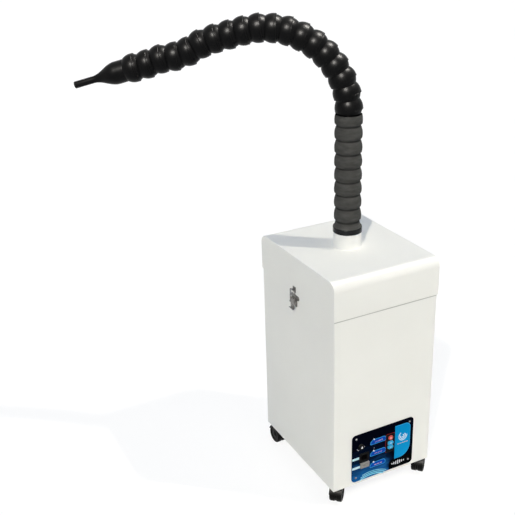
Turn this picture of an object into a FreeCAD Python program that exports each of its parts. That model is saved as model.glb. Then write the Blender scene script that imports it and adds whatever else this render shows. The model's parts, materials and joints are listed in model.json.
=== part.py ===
import FreeCAD
import Part
import math
import os
import re
import Sketcher

# Chairside suction unit: a white sheet-steel cabinet on four twin-wheel castors,
# with a slip-over lid that carries an arm of black ball-and-socket hose links.
# Millimetres, +Z up, origin on the floor under the middle of the cabinet, front face at -Y.

SIZES = {
    # cabinet and lid
    "cabinet_width": 302,
    "cabinet_depth": 369,
    "cabinet_height": 600,
    "ground_gap": 53,
    "sheet_gauge": 1.5,
    "corner_bend": 2.5,
    "lid_height": 100,
    "lid_bend": 25,
    "lid_gap": 0.5,
    "lid_overlap": 8,
    "flange_width": 18,
    "gasket_width": 11,
    "gasket_height": 3,
    "seal_gap": 0.3,
    "pan_recess": 12,
    "pan_rim": 14,
    # collar on the lid and the turning cuff in it
    "collar_radius": 35.5,
    "collar_wall": 3,
    "collar_height": 40.5,
    "collar_floor": 4,
    "collar_spigot": 6,
    "spigot_radius": 31,
    "fit_gap": 0.2,
    "turn_gap": 0.3,
    "ring_radius": 37.3,
    "ring_height": 12.5,
    "ring_edge": 1.5,
    "cuff_spigot": 34,
    "cuff_ball_height": 78.7,
    # hose links: a ball that points along the hose and a socket that takes the ball before it
    "link_pitch": 35.2,
    "ball_radius": 30.6,
    "ball_nose": 18,
    "socket_gap": 0.35,
    "socket_wall": 3.05,
    "lip_reach": 5,
    "hose_bore": 20,
    "sleeved_count": 8,
    "sleeve_wall": 0.7,
    "sleeve_gap": 0.2,
    "sleeve_waist": 29,
    "sleeve_lip": 1.5,
    "sleeve_turn": 20,
    "sleeve_top": 14.5,
    # nozzle
    "nozzle_bell": 27.3,
    "nozzle_shoulder": 44,
    "nozzle_taper": 62,
    "nozzle_tube": 8.5,
    "nozzle_length": 154,
    "nozzle_wall": 2.2,
    # the arm's pose: its compass direction and the bend at each ball joint, in degrees
    "arm_azimuth": 149,
    "bend_01": 8,
    "bend_02": 10,
    "bend_03": 11,
    "bend_04": 9,
    "bend_05": 10,
    "bend_06": 10,
    "bend_07": 9,
    "bend_08": 11,
    "bend_09": 10,
    "bend_10": 11,
    "bend_11": 5,
    "bend_12": 0,
    "bend_13": 5,
    "bend_14": 10,
    "bend_15": -10,
    "bend_16": -10,
    "bend_17": 10,
    "bend_18": -5,
    "bend_nozzle": 1,
    # castors
    "castor_inset_side": 19,
    "castor_inset_end": 18,
    "castor_trail": 13,
    "castor_plate": 30,
    "castor_plate_gauge": 2.5,
    "stem_radius": 4,
    "stem_length": 11,
    "stem_gap": 0.1,
    "boss_radius": 7.2,
    "boss_gap": 0.3,
    "wheel_radius": 25,
    "wheel_width": 14,
    "wheel_spacing": 5,
    "wheel_edge": 3,
    "wheel_dish": 2.5,
    "hub_radius": 8,
    "axle_radius": 3,
    "axle_gap": 0.1,
    "web_width": 4.4,
    "web_lift": 1.5,
    "fender_gap": 1,
    "fender_wall": 1.5,
    "fender_sweep": 150,
    "turn_front_left": 47,
    "turn_front_right": 45,
    "turn_rear_left": -88,
    "turn_rear_right": 60,
    # toggle latches on the two sides
    "latch_y": 6,
    "latch_gauge": 1.4,
    "latch_width": 17,
    "latch_drop": 18,
    "latch_plate_up": 8,
    "latch_plate_down": 20,
    "latch_wing_span": 30,
    "latch_wing_radius": 6,
    "latch_wing_rise": 6,
    "rivet_radius": 2.2,
    "rivet_height": 1,
    "pivot_reach": 6,
    "pivot_radius": 1.5,
    "pivot_gap": 0.1,
    "hub_wall": 1.6,
    "ear_size": 4,
    "ear_gap": 0.3,
    "lever_length": 22,
    "lever_curl": 3.5,
    "bail_drop": 9,
    "bail_reach": 8,
    "bail_rise": 36,
    "bail_span": 12,
    "wire_radius": 1.2,
    "keeper_width": 14,
    "keeper_foot": 2,
    "keeper_height": 15,
    "keeper_ledge": 4,
    "keeper_lip": 4.2,
    "hook_gap": 0.4,
    # control panel on the front
    "panel_width": 192,
    "panel_height": 146,
    "panel_gauge": 2,
    "panel_corner": 11,
    "panel_rise": 8.5,
    "panel_window_inset": 17,
    "screw_inset_x": 12.5,
    "screw_inset_z": 12.5,
    "screw_radius": 1.7,
    "screw_head": 3,
    "screw_head_height": 1.4,
    "screw_length": 3.4,
    "bezel_x": 22.5,
    "bezel_z": 87.5,
    "bezel_width": 28,
    "bezel_height": 57,
    "bezel_gauge": 1.6,
    "bezel_corner": 5,
    "power_z": 104.6,
    "power_radius": 6.4,
    "key_up_z": 88.7,
    "key_down_z": 75.7,
    "key_width": 17,
    "key_height": 10.8,
    "key_gap": 0.3,
    "key_proud": 2.4,
    "key_travel": 1.4,
    "key_corner": 5,
    "key_edge": 1,
    "plunger_radius": 2,
    "key_flange": 0.9,
    "key_flange_gauge": 1.2,
    "knob_x": -70,
    "knob_z": 107.5,
    "knob_radius": 8.5,
    "knob_height": 6.5,
    "knob_taper": 1,
    "knob_gap": 0.3,
    "knob_shaft": 3,
    "inlet_x": -59.5,
    "inlet_z": 72,
    "inlet_width": 30,
    "inlet_height": 27,
    "inlet_flange": 2.5,
    "inlet_wall": 3,
    "inlet_depth": 18,
    "inlet_pin": 2,
    "inlet_pin_length": 12,
    "socket_x": -57.5,
    "socket_z": 47,
    "socket_width": 27,
    "socket_height": 16,
    "socket_proud": 4,
    "socket_depth": 10,
    "socket_slot": 2.6,
    "lamp_x": -29,
    "lamp_low_z": 44.3,
    "lamp_step": 36.2,
    "lamp_count": 3,
    "lamp_radius": 2.2,
    "lamp_length": 8,
    "lamp_proud": 0.6,
    # inside
    "deck_height": 280,
    "deck_hole": 62,
    "filter_margin": 3,
    "filter_height": 190,
    "filter_frame_wall": 8,
    "pleat_count": 14,
    "pleat_sheet": 12,
    "pleat_gap": 1,
    "housing_radius": 108,
    "housing_height": 84,
    "housing_wall": 2.5,
    "outlet_width": 120,
    "outlet_height": 50,
    "impeller_radius": 92,
    "impeller_floor_gap": 8,
    "impeller_plate": 3,
    "blade_count": 9,
    "blade_length": 42,
    "blade_height": 48,
    "blade_gauge": 2.4,
    "blade_lean": 35,
    "hub_height": 30,
    "rotor_hub": 16,
    "shaft_radius": 5,
    "shaft_length": 34,
    "shaft_gap": 0.1,
    "motor_radius": 58,
    "motor_height": 96,
    "motor_band": 4,
    "motor_rib": 3,
    "board_width": 150,
    "board_height": 100,
    "board_gauge": 1.6,
    "board_standoff": 16,
    "standoff_radius": 3.5,
    "standoff_inset": 7,
    "switch_size": 7,
    "relay_width": 28,
    "relay_height": 20,
    "relay_depth": 16,
    "grille_width": 176,
    "grille_height": 96,
    "grille_gauge": 2,
    "grille_rise": 110,
    "grille_border": 16,
    "slot_count": 8,
    "slot_height": 4.5,
}
BENDS = ["bend_%02d" % number for number in range(1, 19)]

doc = FreeCAD.newDocument("SuctionUnit")
sheet = doc.addObject("Spreadsheet::Sheet", "Sizes")
for row, (alias, value) in enumerate(SIZES.items(), start=1):
    sheet.set("A%d" % row, alias)
    sheet.set("B%d" % row, str(value))
    sheet.setAlias("B%d" % row, alias)
doc.recompute()
nodes = []

# Heights and half sizes that several pieces share, as expressions of the sheet's cells.
HALF_WIDTH = "(cabinet_width / 2)"
HALF_DEPTH = "(cabinet_depth / 2)"
LID_REACH = "(lid_gap + sheet_gauge)"
SHELL_HEIGHT = "(cabinet_height - lid_height + lid_overlap)"
SHELL_TOP = "(ground_gap + %s)" % SHELL_HEIGHT
SEAM = "(ground_gap + cabinet_height - lid_height)"
LID_TOP = "(ground_gap + cabinet_height)"
PAN_UNDER = "(ground_gap + pan_recess)"
SOCKET_RADIUS = "(ball_radius + socket_gap)"
DOME_RADIUS = "(ball_radius + socket_gap + socket_wall)"
ARM_FOOT = "(%s + cuff_ball_height)" % LID_TOP
PANEL_BOTTOM = "(ground_gap + panel_rise)"
DECK_TOP = "(ground_gap + deck_height + sheet_gauge)"
LATCH_PIVOT_Z = "(%s - latch_drop)" % SEAM
BAIL_Z = "(%s - bail_drop)" % LATCH_PIVOT_Z
SCREW_HOLE = "(screw_radius + fit_gap)"
CASTOR_X = "(%s - castor_inset_side)" % HALF_WIDTH
CASTOR_Y = "(%s - castor_inset_end)" % HALF_DEPTH


def bind(text):
    # Turns plain size names into references to the sheet's cells.
    def cell(word):
        return "Sizes." + word[0] if word[0] in SIZES else word[0]
    return re.sub(r"[a-z][a-z0-9_]*", cell, text)


def drive(thing, **texts):
    for name, text in texts.items():
        thing.setExpression(name, bind(text))
    return thing


def frame(x="0", y="0", z="0", axis=(0, 0, 1), angle="0"):
    spot = "vector(%s; %s; %s)" % (x, y, z)
    turn = "rotation(vector(%g; %g; %g); %s)" % (*axis, angle)
    return "placement(%s; %s)" % (spot, turn)


def put(thing, *frames):
    # Places a thing by one frame, or by several in a row, each inside the one before.
    thing.setExpression("Placement", bind(" * ".join(frames)))
    return thing


def node(thing, label):
    thing.Label = label
    nodes.append(thing)
    return thing


# Solids from primitives and booleans
def box(name, length, width, height, x, y, z):
    # A box centred on x and y that stands on z.
    solid = drive(doc.addObject("Part::Box", name), Length=length, Width=width, Height=height)
    return put(solid, frame("%s - (%s) / 2" % (x, length), "%s - (%s) / 2" % (y, width), z))


def cylinder(name, radius, height, *frames):
    solid = drive(doc.addObject("Part::Cylinder", name), Radius=radius, Height=height)
    return put(solid, *frames) if frames else solid


def ball(name, radius, low, high, *frames):
    # A ball cut flat at the heights low and high above its centre; None leaves that pole whole.
    solid = drive(doc.addObject("Part::Sphere", name), Radius=radius)
    if low is not None:
        drive(solid, Angle1="asin((%s) / (%s))" % (low, radius))
    if high is not None:
        drive(solid, Angle2="asin((%s) / (%s))" % (high, radius))
    return put(solid, *frames) if frames else solid


def fuse(name, *pieces):
    whole = doc.addObject("Part::MultiFuse", name)
    whole.Shapes = list(pieces)
    return whole


def cut(name, base, *tools):
    rest = doc.addObject("Part::Cut", name)
    rest.Base = base
    rest.Tool = tools[0] if len(tools) == 1 else fuse(name + "_tools", *tools)
    return rest


def group(name, *pieces):
    # Separate solids that share one node.
    together = doc.addObject("Part::Compound", name)
    together.Links = list(pieces)
    return together


def mirror(name, piece):
    # The same piece on the cabinet's other side.
    copy = doc.addObject("Part::Mirroring", name)
    copy.Source = piece
    copy.Normal = FreeCAD.Vector(1, 0, 0)
    return copy


# Solids from sketches
def body(label, *frames):
    solid = doc.addObject("PartDesign::Body", label)
    if frames:
        put(solid, *frames)
    return solid


def pin_point(sketch, index, position, x, y):
    # Holds one sketch point at x and y from the sketch's origin.
    for kind, text in (("DistanceX", x), ("DistanceY", y)):
        number = sketch.addConstraint(Sketcher.Constraint(kind, -1, 1, index, position, 1.0))
        sketch.setExpression("Constraints[%d]" % number, bind(text))


def draw_polygon(sketch, corners):
    count = len(corners)
    first = sketch.GeometryCount
    turns = [math.tau * k / count for k in range(count)]
    ring = [FreeCAD.Vector(math.cos(turn), math.sin(turn), 0) for turn in turns]
    for k in range(count):
        sketch.addGeometry(Part.LineSegment(ring[k], ring[(k + 1) % count]), False)
    for k in range(count):
        sketch.addConstraint(Sketcher.Constraint("Coincident", first + k, 2, first + (k + 1) % count, 1))
    for k, (x, y) in enumerate(corners):
        pin_point(sketch, first + k, 1, x, y)


def draw_circle(sketch, x, y, radius):
    index = sketch.addGeometry(Part.Circle(FreeCAD.Vector(0, 0, 0), FreeCAD.Vector(0, 0, 1), 1), False)
    pin_point(sketch, index, 3, x, y)
    number = sketch.addConstraint(Sketcher.Constraint("Radius", index, 1.0))
    sketch.setExpression("Constraints[%d]" % number, bind(radius))


def rectangle(width, height, x="0", y="0"):
    left, right = ("(%s) %s (%s) / 2" % (x, sign, width) for sign in "-+")
    low, high = ("(%s) %s (%s) / 2" % (y, sign, height) for sign in "-+")
    return [(left, low), (right, low), (right, high), (left, high)]


def sketch(owner, name, plane, polygons=(), circles=(), lift="0"):
    drawing = owner.newObject("Sketcher::SketchObject", name)
    support = next(item for item in owner.Origin.OriginFeatures if item.Role == plane)
    drawing.AttachmentSupport = (support, [""])
    drawing.MapMode = "FlatFace"
    drive(drawing, **{"AttachmentOffset.Base.z": lift})
    for corners in polygons:
        draw_polygon(drawing, corners)
    for circle in circles:
        draw_circle(drawing, *circle)
    return drawing


def pad(owner, drawing, length, both=False, back=False):
    feature = owner.newObject("PartDesign::Pad", drawing.Name + "_pad")
    feature.Profile = drawing
    feature.Midplane = both
    feature.Reversed = back
    return drive(feature, Length=length)


def pocket(owner, drawing, length=None, back=False):
    # A pocket of a given depth, or one that runs through everything ahead of it.
    feature = owner.newObject("PartDesign::Pocket", drawing.Name + "_pocket")
    feature.Profile = drawing
    feature.Reversed = back
    if length is None:
        feature.Type = "ThroughAll"
        return feature
    return drive(feature, Length=length)


def revolve(owner, drawing):
    feature = owner.newObject("PartDesign::Revolution", drawing.Name + "_turn")
    feature.Profile = drawing
    feature.ReferenceAxis = (drawing, ["V_Axis"])
    return feature


def round_edges(owner, name, radius, wanted):
    # Rounds the edges of the body so far whose middle point and direction pass a test.
    doc.recompute()
    base = owner.Tip
    chosen = []
    for number, edge in enumerate(base.Shape.Edges, start=1):
        middle = edge.valueAt((edge.FirstParameter + edge.LastParameter) / 2)
        run = edge.tangentAt(edge.FirstParameter)
        if wanted(middle, run):
            chosen.append("Edge%d" % number)
    feature = owner.newObject("PartDesign::Fillet", name)
    feature.Base = (base, chosen)
    return drive(feature, Radius=radius)


def upright(middle, run):
    return abs(run.z) > 0.99


def across_at(reach):
    # Picks the upper edges that run from side to side at this distance from the middle.
    def wanted(middle, run):
        return abs(run.x) > 0.99 and abs(abs(middle.y) - reach) < 0.01 and middle.z > 1
    return wanted


# Cabinet shell: folded sheet with a flange round its mouth and windows behind the panel and the grille
def make_cabinet_shell():
    shell = node(body("cabinet_shell", frame(z="ground_gap")), "cabinet_shell")
    outline = sketch(shell, "shell_outline", "XY_Plane", [rectangle("cabinet_width", "cabinet_depth")])
    pad(shell, outline, SHELL_HEIGHT)
    round_edges(shell, "shell_corners", "corner_bend", upright)
    room = rectangle("cabinet_width - 2 * sheet_gauge", "cabinet_depth - 2 * sheet_gauge")
    pocket(shell, sketch(shell, "shell_room", "XY_Plane", [room]), SHELL_HEIGHT + " - sheet_gauge",
           back=True)
    mouth = rectangle("cabinet_width - 2 * flange_width", "cabinet_depth - 2 * flange_width")
    pocket(shell, sketch(shell, "shell_mouth", "XY_Plane", [mouth]), back=True)
    window = rectangle("panel_width - 2 * panel_window_inset", "panel_height - 2 * panel_window_inset",
                       "0", "panel_rise + panel_height / 2")
    drilled = []
    for x_sign in ("-", ""):
        for z in ("screw_inset_z", "panel_height - screw_inset_z"):
            drilled.append((x_sign + "(panel_width / 2 - screw_inset_x)", "panel_rise + " + z, SCREW_HOLE))
    pocket(shell, sketch(shell, "panel_window", "XZ_Plane", [window], drilled), back=True)
    outlet = rectangle("grille_width - grille_border", "grille_height - grille_border",
                       "0", "grille_rise + grille_height / 2")
    pocket(shell, sketch(shell, "outlet_window", "XZ_Plane", [outlet]))


# Base pan: a tray with an upturned rim inside the foot of the shell, which carries the castors
def make_base_pan():
    pan = node(body("base_pan", frame(z=PAN_UNDER)), "base_pan")
    room = ("cabinet_width - 2 * sheet_gauge", "cabinet_depth - 2 * sheet_gauge")
    pad(pan, sketch(pan, "pan_floor", "XY_Plane", [rectangle(*room)]), "sheet_gauge")
    inner = rectangle("cabinet_width - 4 * sheet_gauge", "cabinet_depth - 4 * sheet_gauge")
    pad(pan, sketch(pan, "pan_rim_ring", "XY_Plane", [rectangle(*room), inner]), "pan_rim")


# Lid: a hollow wrap with large front and rear bends, flat cheeks and a flange that presses the gasket
def make_lid():
    lid = node(body("lid", frame(z=SEAM)), "lid")
    width = "cabinet_width + 2 * " + LID_REACH
    depth = "cabinet_depth + 2 * " + LID_REACH
    side = sketch(lid, "lid_side", "YZ_Plane", [rectangle(depth, "lid_height", "0", "lid_height / 2")])
    pad(lid, side, width, both=True)
    inner_depth = depth + " - 2 * sheet_gauge"
    inner_height = "lid_height - sheet_gauge"
    room = rectangle(inner_depth, inner_height, "0", "(%s) / 2" % inner_height)
    hollow = pocket(lid, sketch(lid, "lid_room", "YZ_Plane", [room]), width + " - 2 * sheet_gauge")
    hollow.Midplane = True
    inner_end = sheet.cabinet_depth / 2 + sheet.lid_gap
    round_edges(lid, "lid_inner_bends", "lid_bend - sheet_gauge", across_at(inner_end))
    round_edges(lid, "lid_bends", "lid_bend", across_at(inner_end + sheet.sheet_gauge))
    seat = "lid_overlap + seal_gap + gasket_height"
    outer = rectangle("cabinet_width + 2 * lid_gap + sheet_gauge",
                      "cabinet_depth + 2 * lid_gap + sheet_gauge")
    inner = rectangle("cabinet_width - 2 * flange_width", "cabinet_depth - 2 * flange_width")
    pad(lid, sketch(lid, "lid_flange", "XY_Plane", [outer, inner], lift=seat), "sheet_gauge")
    hole = sketch(lid, "lid_hole", "XY_Plane", circles=[("0", "0", "spigot_radius + fit_gap")],
                  lift="lid_height / 2")
    pocket(lid, hole, back=True)


def make_lid_gasket():
    gasket = node(body("lid_gasket", frame(z=SHELL_TOP + " + seal_gap")), "lid_gasket")
    outer = rectangle("cabinet_width - 2 * sheet_gauge", "cabinet_depth - 2 * sheet_gauge")
    inner = rectangle("cabinet_width - 2 * sheet_gauge - 2 * gasket_width",
                      "cabinet_depth - 2 * sheet_gauge - 2 * gasket_width")
    pad(gasket, sketch(gasket, "gasket_ring", "XY_Plane", [outer, inner]), "gasket_height")


# Collar: the hose inlet that stands on the lid, with a spigot through the lid's hole
def make_lid_collar():
    collar = node(body("lid_collar", frame(z=LID_TOP)), "lid_collar")
    inside = "collar_radius - collar_wall"
    throat = "spigot_radius - collar_wall"
    wall = [(inside, "collar_height"), ("collar_radius", "collar_height"), ("collar_radius", "0"),
            ("spigot_radius", "0"), ("spigot_radius", "-collar_spigot"), (throat, "-collar_spigot"),
            (throat, "collar_floor"), (inside, "collar_floor")]
    revolve(collar, sketch(collar, "collar_wall_outline", "XZ_Plane", [wall]))


# Arm: the cuff turns in the collar, and every joint above it is a ball in a socket of the same centre
def make_cuff():
    ring_foot = "collar_height + turn_gap"
    spigot = cylinder("cuff_spigot_tube", "collar_radius - collar_wall - turn_gap",
                      "cuff_spigot + ring_height / 2",
                      frame(z="%s - cuff_spigot" % ring_foot))
    ring = cylinder("cuff_ring", "ring_radius", "ring_height", frame(z=ring_foot))
    bevel = drive(doc.addObject("Part::Cone", "cuff_ring_bevel"), Radius1="ring_radius",
                  Radius2="ring_radius - ring_edge", Height="ring_edge")
    put(bevel, frame(z="%s + ring_height" % ring_foot))
    dome_z = "cuff_ball_height - link_pitch"
    dome = ball("cuff_dome", DOME_RADIUS, "%s + ring_height / 2 - (%s)" % (ring_foot, dome_z), None,
                frame(z=dome_z))
    head = ball("cuff_ball", "ball_radius", None, "ball_nose", frame(z="cuff_ball_height"))
    bore = cylinder("cuff_bore", "hose_bore", "2 * cuff_ball_height", frame(z="-cuff_ball_height / 2"))
    cuff = cut("cuff", fuse("cuff_solid", spigot, ring, bevel, dome, head), bore)
    node(put(group("arm_swivel_cuff", cuff), frame(z=LID_TOP)), "arm_swivel_cuff")


def make_link():
    # One link with its socket centred on the origin and its ball one pitch up.
    dome = ball("link_dome", DOME_RADIUS, "-lip_reach", None)
    head = ball("link_ball", "ball_radius", None, "ball_nose", frame(z="link_pitch"))
    socket = ball("link_socket", SOCKET_RADIUS, None, None)
    bore = cylinder("link_bore", "hose_bore", "2 * link_pitch")
    return cut("link", fuse("link_solid", dome, head), socket, bore)


def make_sleeved_links(link):
    pieces = []
    for number in range(int(sheet.sleeved_count)):
        piece = group("sleeved_link_%d" % (number + 1), link)
        pieces.append(put(piece, frame(z="%s + %d * link_pitch" % (ARM_FOOT, number))))
    node(group("sleeved_links", *pieces), "sleeved_links")


# Shrink sleeve: a skin that follows the upright links' domes and bridges the valleys between them
def make_shrink_sleeve():
    ring_top = "collar_height + turn_gap + ring_height + ring_edge"
    top = "cuff_ball_height + sleeved_count * link_pitch - sleeve_top"
    half = "link_pitch / 2"
    layers = []
    for side, lift, drop in (("outer", "sleeve_gap + sleeve_wall", "sleeve_lip"),
                             ("inner", "sleeve_gap", "sleeve_lip / 2")):
        dome = "(%s + %s)" % (DOME_RADIUS, lift)
        throat = "(ball_radius + %s)" % lift
        waist = "sleeve_waist - sleeve_wall - sleeve_gap + " + lift
        skin = [cylinder("sleeve_%s_waist" % side, waist, "%s - (%s)" % (top, ring_top), frame(z=ring_top))]
        foot_z = "cuff_ball_height - link_pitch"
        skin.append(ball("sleeve_%s_foot" % side, dome, "%s - (%s)" % (ring_top, foot_z), None,
                         frame(z=foot_z)))
        for number in range(int(sheet.sleeved_count)):
            centre = frame(z="cuff_ball_height + %d * link_pitch" % number)
            skin.append(ball("sleeve_%s_dome_%d" % (side, number), dome, "-lip_reach - " + drop,
                             "sleeve_turn", centre))
            skin.append(ball("sleeve_%s_throat_%d" % (side, number), throat, "-" + half, "0", centre))
        layers.append(fuse("sleeve_%s" % side, *skin))
    node(put(group("shrink_sleeve", cut("sleeve", *layers)), frame(z=LID_TOP)), "shrink_sleeve")


def bend(size):
    return frame(axis=(0, 1, 0), angle=size)


def make_arm_links(link):
    # Each link sits on the ball of the one before it, turned by the bend at that joint.
    foot = "%s + sleeved_count * link_pitch" % ARM_FOOT
    before = [frame(z=foot, angle="arm_azimuth")]
    for number, size in enumerate(BENDS, start=1):
        name = "link_%02d" % number
        put(node(group(name, link), name), *before, bend(size))
        before = [name + ".Placement", frame(z="link_pitch")]
    return before


def nozzle_radius(step, steps, trim=""):
    # The nozzle's wall runs from bell to tube along half a cosine wave.
    wave = "(1 + cos(180 deg * %d / %d)) / 2" % (step, steps)
    return "nozzle_tube + (nozzle_bell - nozzle_tube) * %s %s" % (wave, trim)


def nozzle_skin(name, trim, foot, tip):
    # One revolved surface of the nozzle: straight bell, wave, straight tube.
    steps = 8
    rings = []
    for step in range(steps + 1):
        ring = drive(doc.addObject("Part::Circle", "%s_ring_%d" % (name, step)),
                     Radius=nozzle_radius(step, steps, trim))
        rings.append(put(ring, frame(z="nozzle_shoulder + nozzle_taper * %d / %d" % (step, steps))))
    wave = doc.addObject("Part::Loft", name + "_wave")
    wave.Sections = rings
    wave.Solid = True
    bell = cylinder(name + "_bell", "nozzle_bell " + trim, "nozzle_shoulder - (%s)" % foot, frame(z=foot))
    start = "nozzle_shoulder + nozzle_taper"
    tube = cylinder(name + "_tube", "nozzle_tube " + trim, "%s - (%s)" % (tip, start), frame(z=start))
    return fuse(name, bell, wave, tube)


def make_nozzle(before):
    outer = nozzle_skin("nozzle_outer", "", "link_pitch / 3", "nozzle_length")
    inner = nozzle_skin("nozzle_inner", "- nozzle_wall", "ball_nose", "2 * nozzle_length")
    dome = ball("nozzle_dome", DOME_RADIUS, "-lip_reach", "link_pitch / 2 + lip_reach")
    socket = ball("nozzle_socket", SOCKET_RADIUS, None, None)
    nozzle = cut("nozzle_solid", fuse("nozzle_whole", dome, outer), socket, inner)
    put(node(group("nozzle", nozzle), "nozzle"), *before, bend("bend_nozzle"))


# Castors, built with the swivel axis on Z, the wheels trailing along +X and the axle along Y
AXLE = frame("castor_trail", "0", "wheel_radius", (1, 0, 0), "90")


def make_wheel():
    wheel = body("castor_wheel")
    rim = "wheel_radius - wheel_edge"
    profile = [("axle_radius + axle_gap", "0"), (rim, "0"), ("wheel_radius", "wheel_edge / 2"),
               ("wheel_radius", "wheel_width - wheel_edge"), (rim, "wheel_width"),
               (rim + " - wheel_edge", "wheel_width - wheel_dish"),
               ("hub_radius", "wheel_width - wheel_dish"),
               ("hub_radius - wheel_dish / 2", "wheel_width - wheel_dish / 2"),
               ("axle_radius + axle_gap", "wheel_width - wheel_dish / 2")]
    revolve(wheel, sketch(wheel, "wheel_outline", "XZ_Plane", [profile]))
    return wheel


def make_hood():
    reach = "wheel_radius + fender_gap + fender_wall"
    span = "2 * wheel_width + wheel_spacing"
    lean = frame(axis=(0, 0, 1), angle="90 - fender_sweep / 2")
    fender = drive(cylinder("hood_fender", reach, span, AXLE, frame(z="-(%s) / 2" % span), lean),
                   Angle="fender_sweep")
    room = cylinder("hood_room", "wheel_radius + fender_gap", "2 * (%s)" % span, AXLE,
                    frame(z="-(%s)" % span))
    web = drive(cylinder("hood_web", reach, "web_width", AXLE, frame(z="-web_width / 2"), lean),
                Angle="fender_sweep")
    disc = cylinder("hood_disc", "wheel_radius - web_lift", "web_width", AXLE, frame(z="-web_width / 2"))
    axle = cylinder("hood_axle", "axle_radius", span, AXLE, frame(z="-(%s) / 2" % span))
    boss_top = "%s - castor_plate_gauge - boss_gap" % PAN_UNDER
    boss = cylinder("hood_boss", "boss_radius", boss_top + " - wheel_radius", frame(z="wheel_radius"))
    hole = cylinder("hood_stem_hole", "stem_radius + stem_gap", "stem_length + boss_gap",
                    frame(z="%s - castor_plate_gauge - stem_length - boss_gap" % PAN_UNDER))
    cover = cut("hood_cover", fuse("hood_skin", fender, boss), room)
    return cut("castor_hood", fuse("hood_whole", cover, web, disc, axle), hole)


def make_stem():
    plate = box("stem_plate", "castor_plate", "castor_plate", "castor_plate_gauge", "0", "0",
                "%s - castor_plate_gauge" % PAN_UNDER)
    pin = cylinder("stem_pin", "stem_radius", "stem_length + castor_plate_gauge / 2",
                   frame(z="%s - castor_plate_gauge - stem_length" % PAN_UNDER))
    return fuse("castor_stem", plate, pin)


def make_castors():
    wheel = make_wheel()
    hood = make_hood()
    stem = make_stem()
    outside = put(group("outer_wheel", wheel), AXLE, frame(z="wheel_spacing / 2"))
    inside = put(group("inner_wheel", wheel), AXLE,
                 frame(z="-wheel_spacing / 2", axis=(1, 0, 0), angle="180"))
    stems = []
    for corner, x_sign, y_sign in (("front_left", "-", "-"), ("front_right", "", "-"),
                                   ("rear_left", "-", ""), ("rear_right", "", "")):
        spot = frame(x_sign + CASTOR_X, y_sign + CASTOR_Y)
        turned = frame(x_sign + CASTOR_X, y_sign + CASTOR_Y, angle="turn_" + corner)
        stems.append(put(group("stem_" + corner, stem), spot))
        put(node(group(corner + "_castor_hood", hood), corner + "_castor_hood"), turned)
        put(node(group(corner + "_castor_wheels", outside, inside), corner + "_castor_wheels"), turned)
    node(group("castor_stems", *stems), "castor_stems")


# Toggle latches, drawn with x running outwards from the wall, then turned to face left
LEFT_WALL = frame("-" + HALF_WIDTH, "latch_y", "0", (0, 0, 1), "180")
ACROSS = frame(axis=(1, 0, 0), angle="90")


def bar(name, radius, length, x, z):
    # A round bar along the cabinet's depth, centred on the latch.
    return cylinder(name, radius, length, frame(x, "(%s) / 2" % length, z), ACROSS)


def make_latch_base():
    plate = box("latch_plate", "latch_gauge", "latch_width + 2 * latch_gauge",
                "latch_plate_up + latch_plate_down",
                "latch_gauge / 2", "0", "%s - latch_plate_down" % LATCH_PIVOT_Z)
    ears = []
    for side in ("-", ""):
        ears.append(box("latch_ear", "pivot_reach + ear_size", "latch_gauge", "2 * ear_size",
                        "(pivot_reach + ear_size) / 2",
                        side + "(latch_width / 2 + ear_gap + latch_gauge / 2)",
                        "%s - ear_size" % LATCH_PIVOT_Z))
    pin = bar("latch_pin", "pivot_radius", "latch_width + 2 * ear_gap + 2 * latch_gauge", "pivot_reach",
              LATCH_PIVOT_Z)
    wing_z = "%s + latch_wing_rise" % LATCH_PIVOT_Z
    wings = [box("latch_wing_bar", "latch_gauge", "latch_wing_span", "2 * latch_wing_radius",
                 "latch_gauge / 2", "0", wing_z + " - latch_wing_radius")]
    for side in ("-", ""):
        spot = frame("0", side + "latch_wing_span / 2", wing_z, (0, 1, 0), "90")
        wings.append(cylinder("latch_wing_end", "latch_wing_radius", "latch_gauge", spot))
        wings.append(cylinder("latch_rivet", "rivet_radius", "latch_gauge + rivet_height", spot))
    return fuse("latch_base", plate, pin, *ears, *wings)


def make_lever():
    out = "pivot_reach + pivot_radius + pivot_gap + hub_wall"
    hub = bar("lever_hub", "pivot_radius + pivot_gap + hub_wall", "latch_width", "pivot_reach",
              LATCH_PIVOT_Z)
    hole = bar("lever_hole", "pivot_radius + pivot_gap", "2 * latch_width", "pivot_reach", LATCH_PIVOT_Z)
    end_z = "%s - lever_length" % LATCH_PIVOT_Z
    blade = box("lever_blade", "latch_gauge", "latch_width", "lever_length", out + " - latch_gauge / 2", "0",
                end_z)
    curl_x = out + " - latch_gauge + lever_curl"
    curl = bar("lever_curl_round", "lever_curl", "latch_width", curl_x, end_z)
    curl_room = bar("lever_curl_room", "lever_curl - latch_gauge", "2 * latch_width", curl_x, end_z)
    curl_mouth = box("lever_curl_mouth", "2 * lever_curl", "2 * latch_width", "2 * lever_curl", curl_x, "0",
                     end_z)
    rib = box("lever_rib", "bail_reach - pivot_reach + wire_radius", "latch_width / 2",
              "2 * wire_radius + latch_gauge",
              "(bail_reach + pivot_reach + wire_radius) / 2", "0",
              "%s - wire_radius - latch_gauge / 2" % BAIL_Z)
    trunnion = bar("lever_trunnion", "wire_radius", "2 * bail_span + 4 * wire_radius", "bail_reach", BAIL_Z)
    curled = cut("lever_curled", curl, curl_room, curl_mouth)
    return cut("latch_lever", fuse("lever_whole", hub, blade, curled, rib, trunnion), hole)


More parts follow.
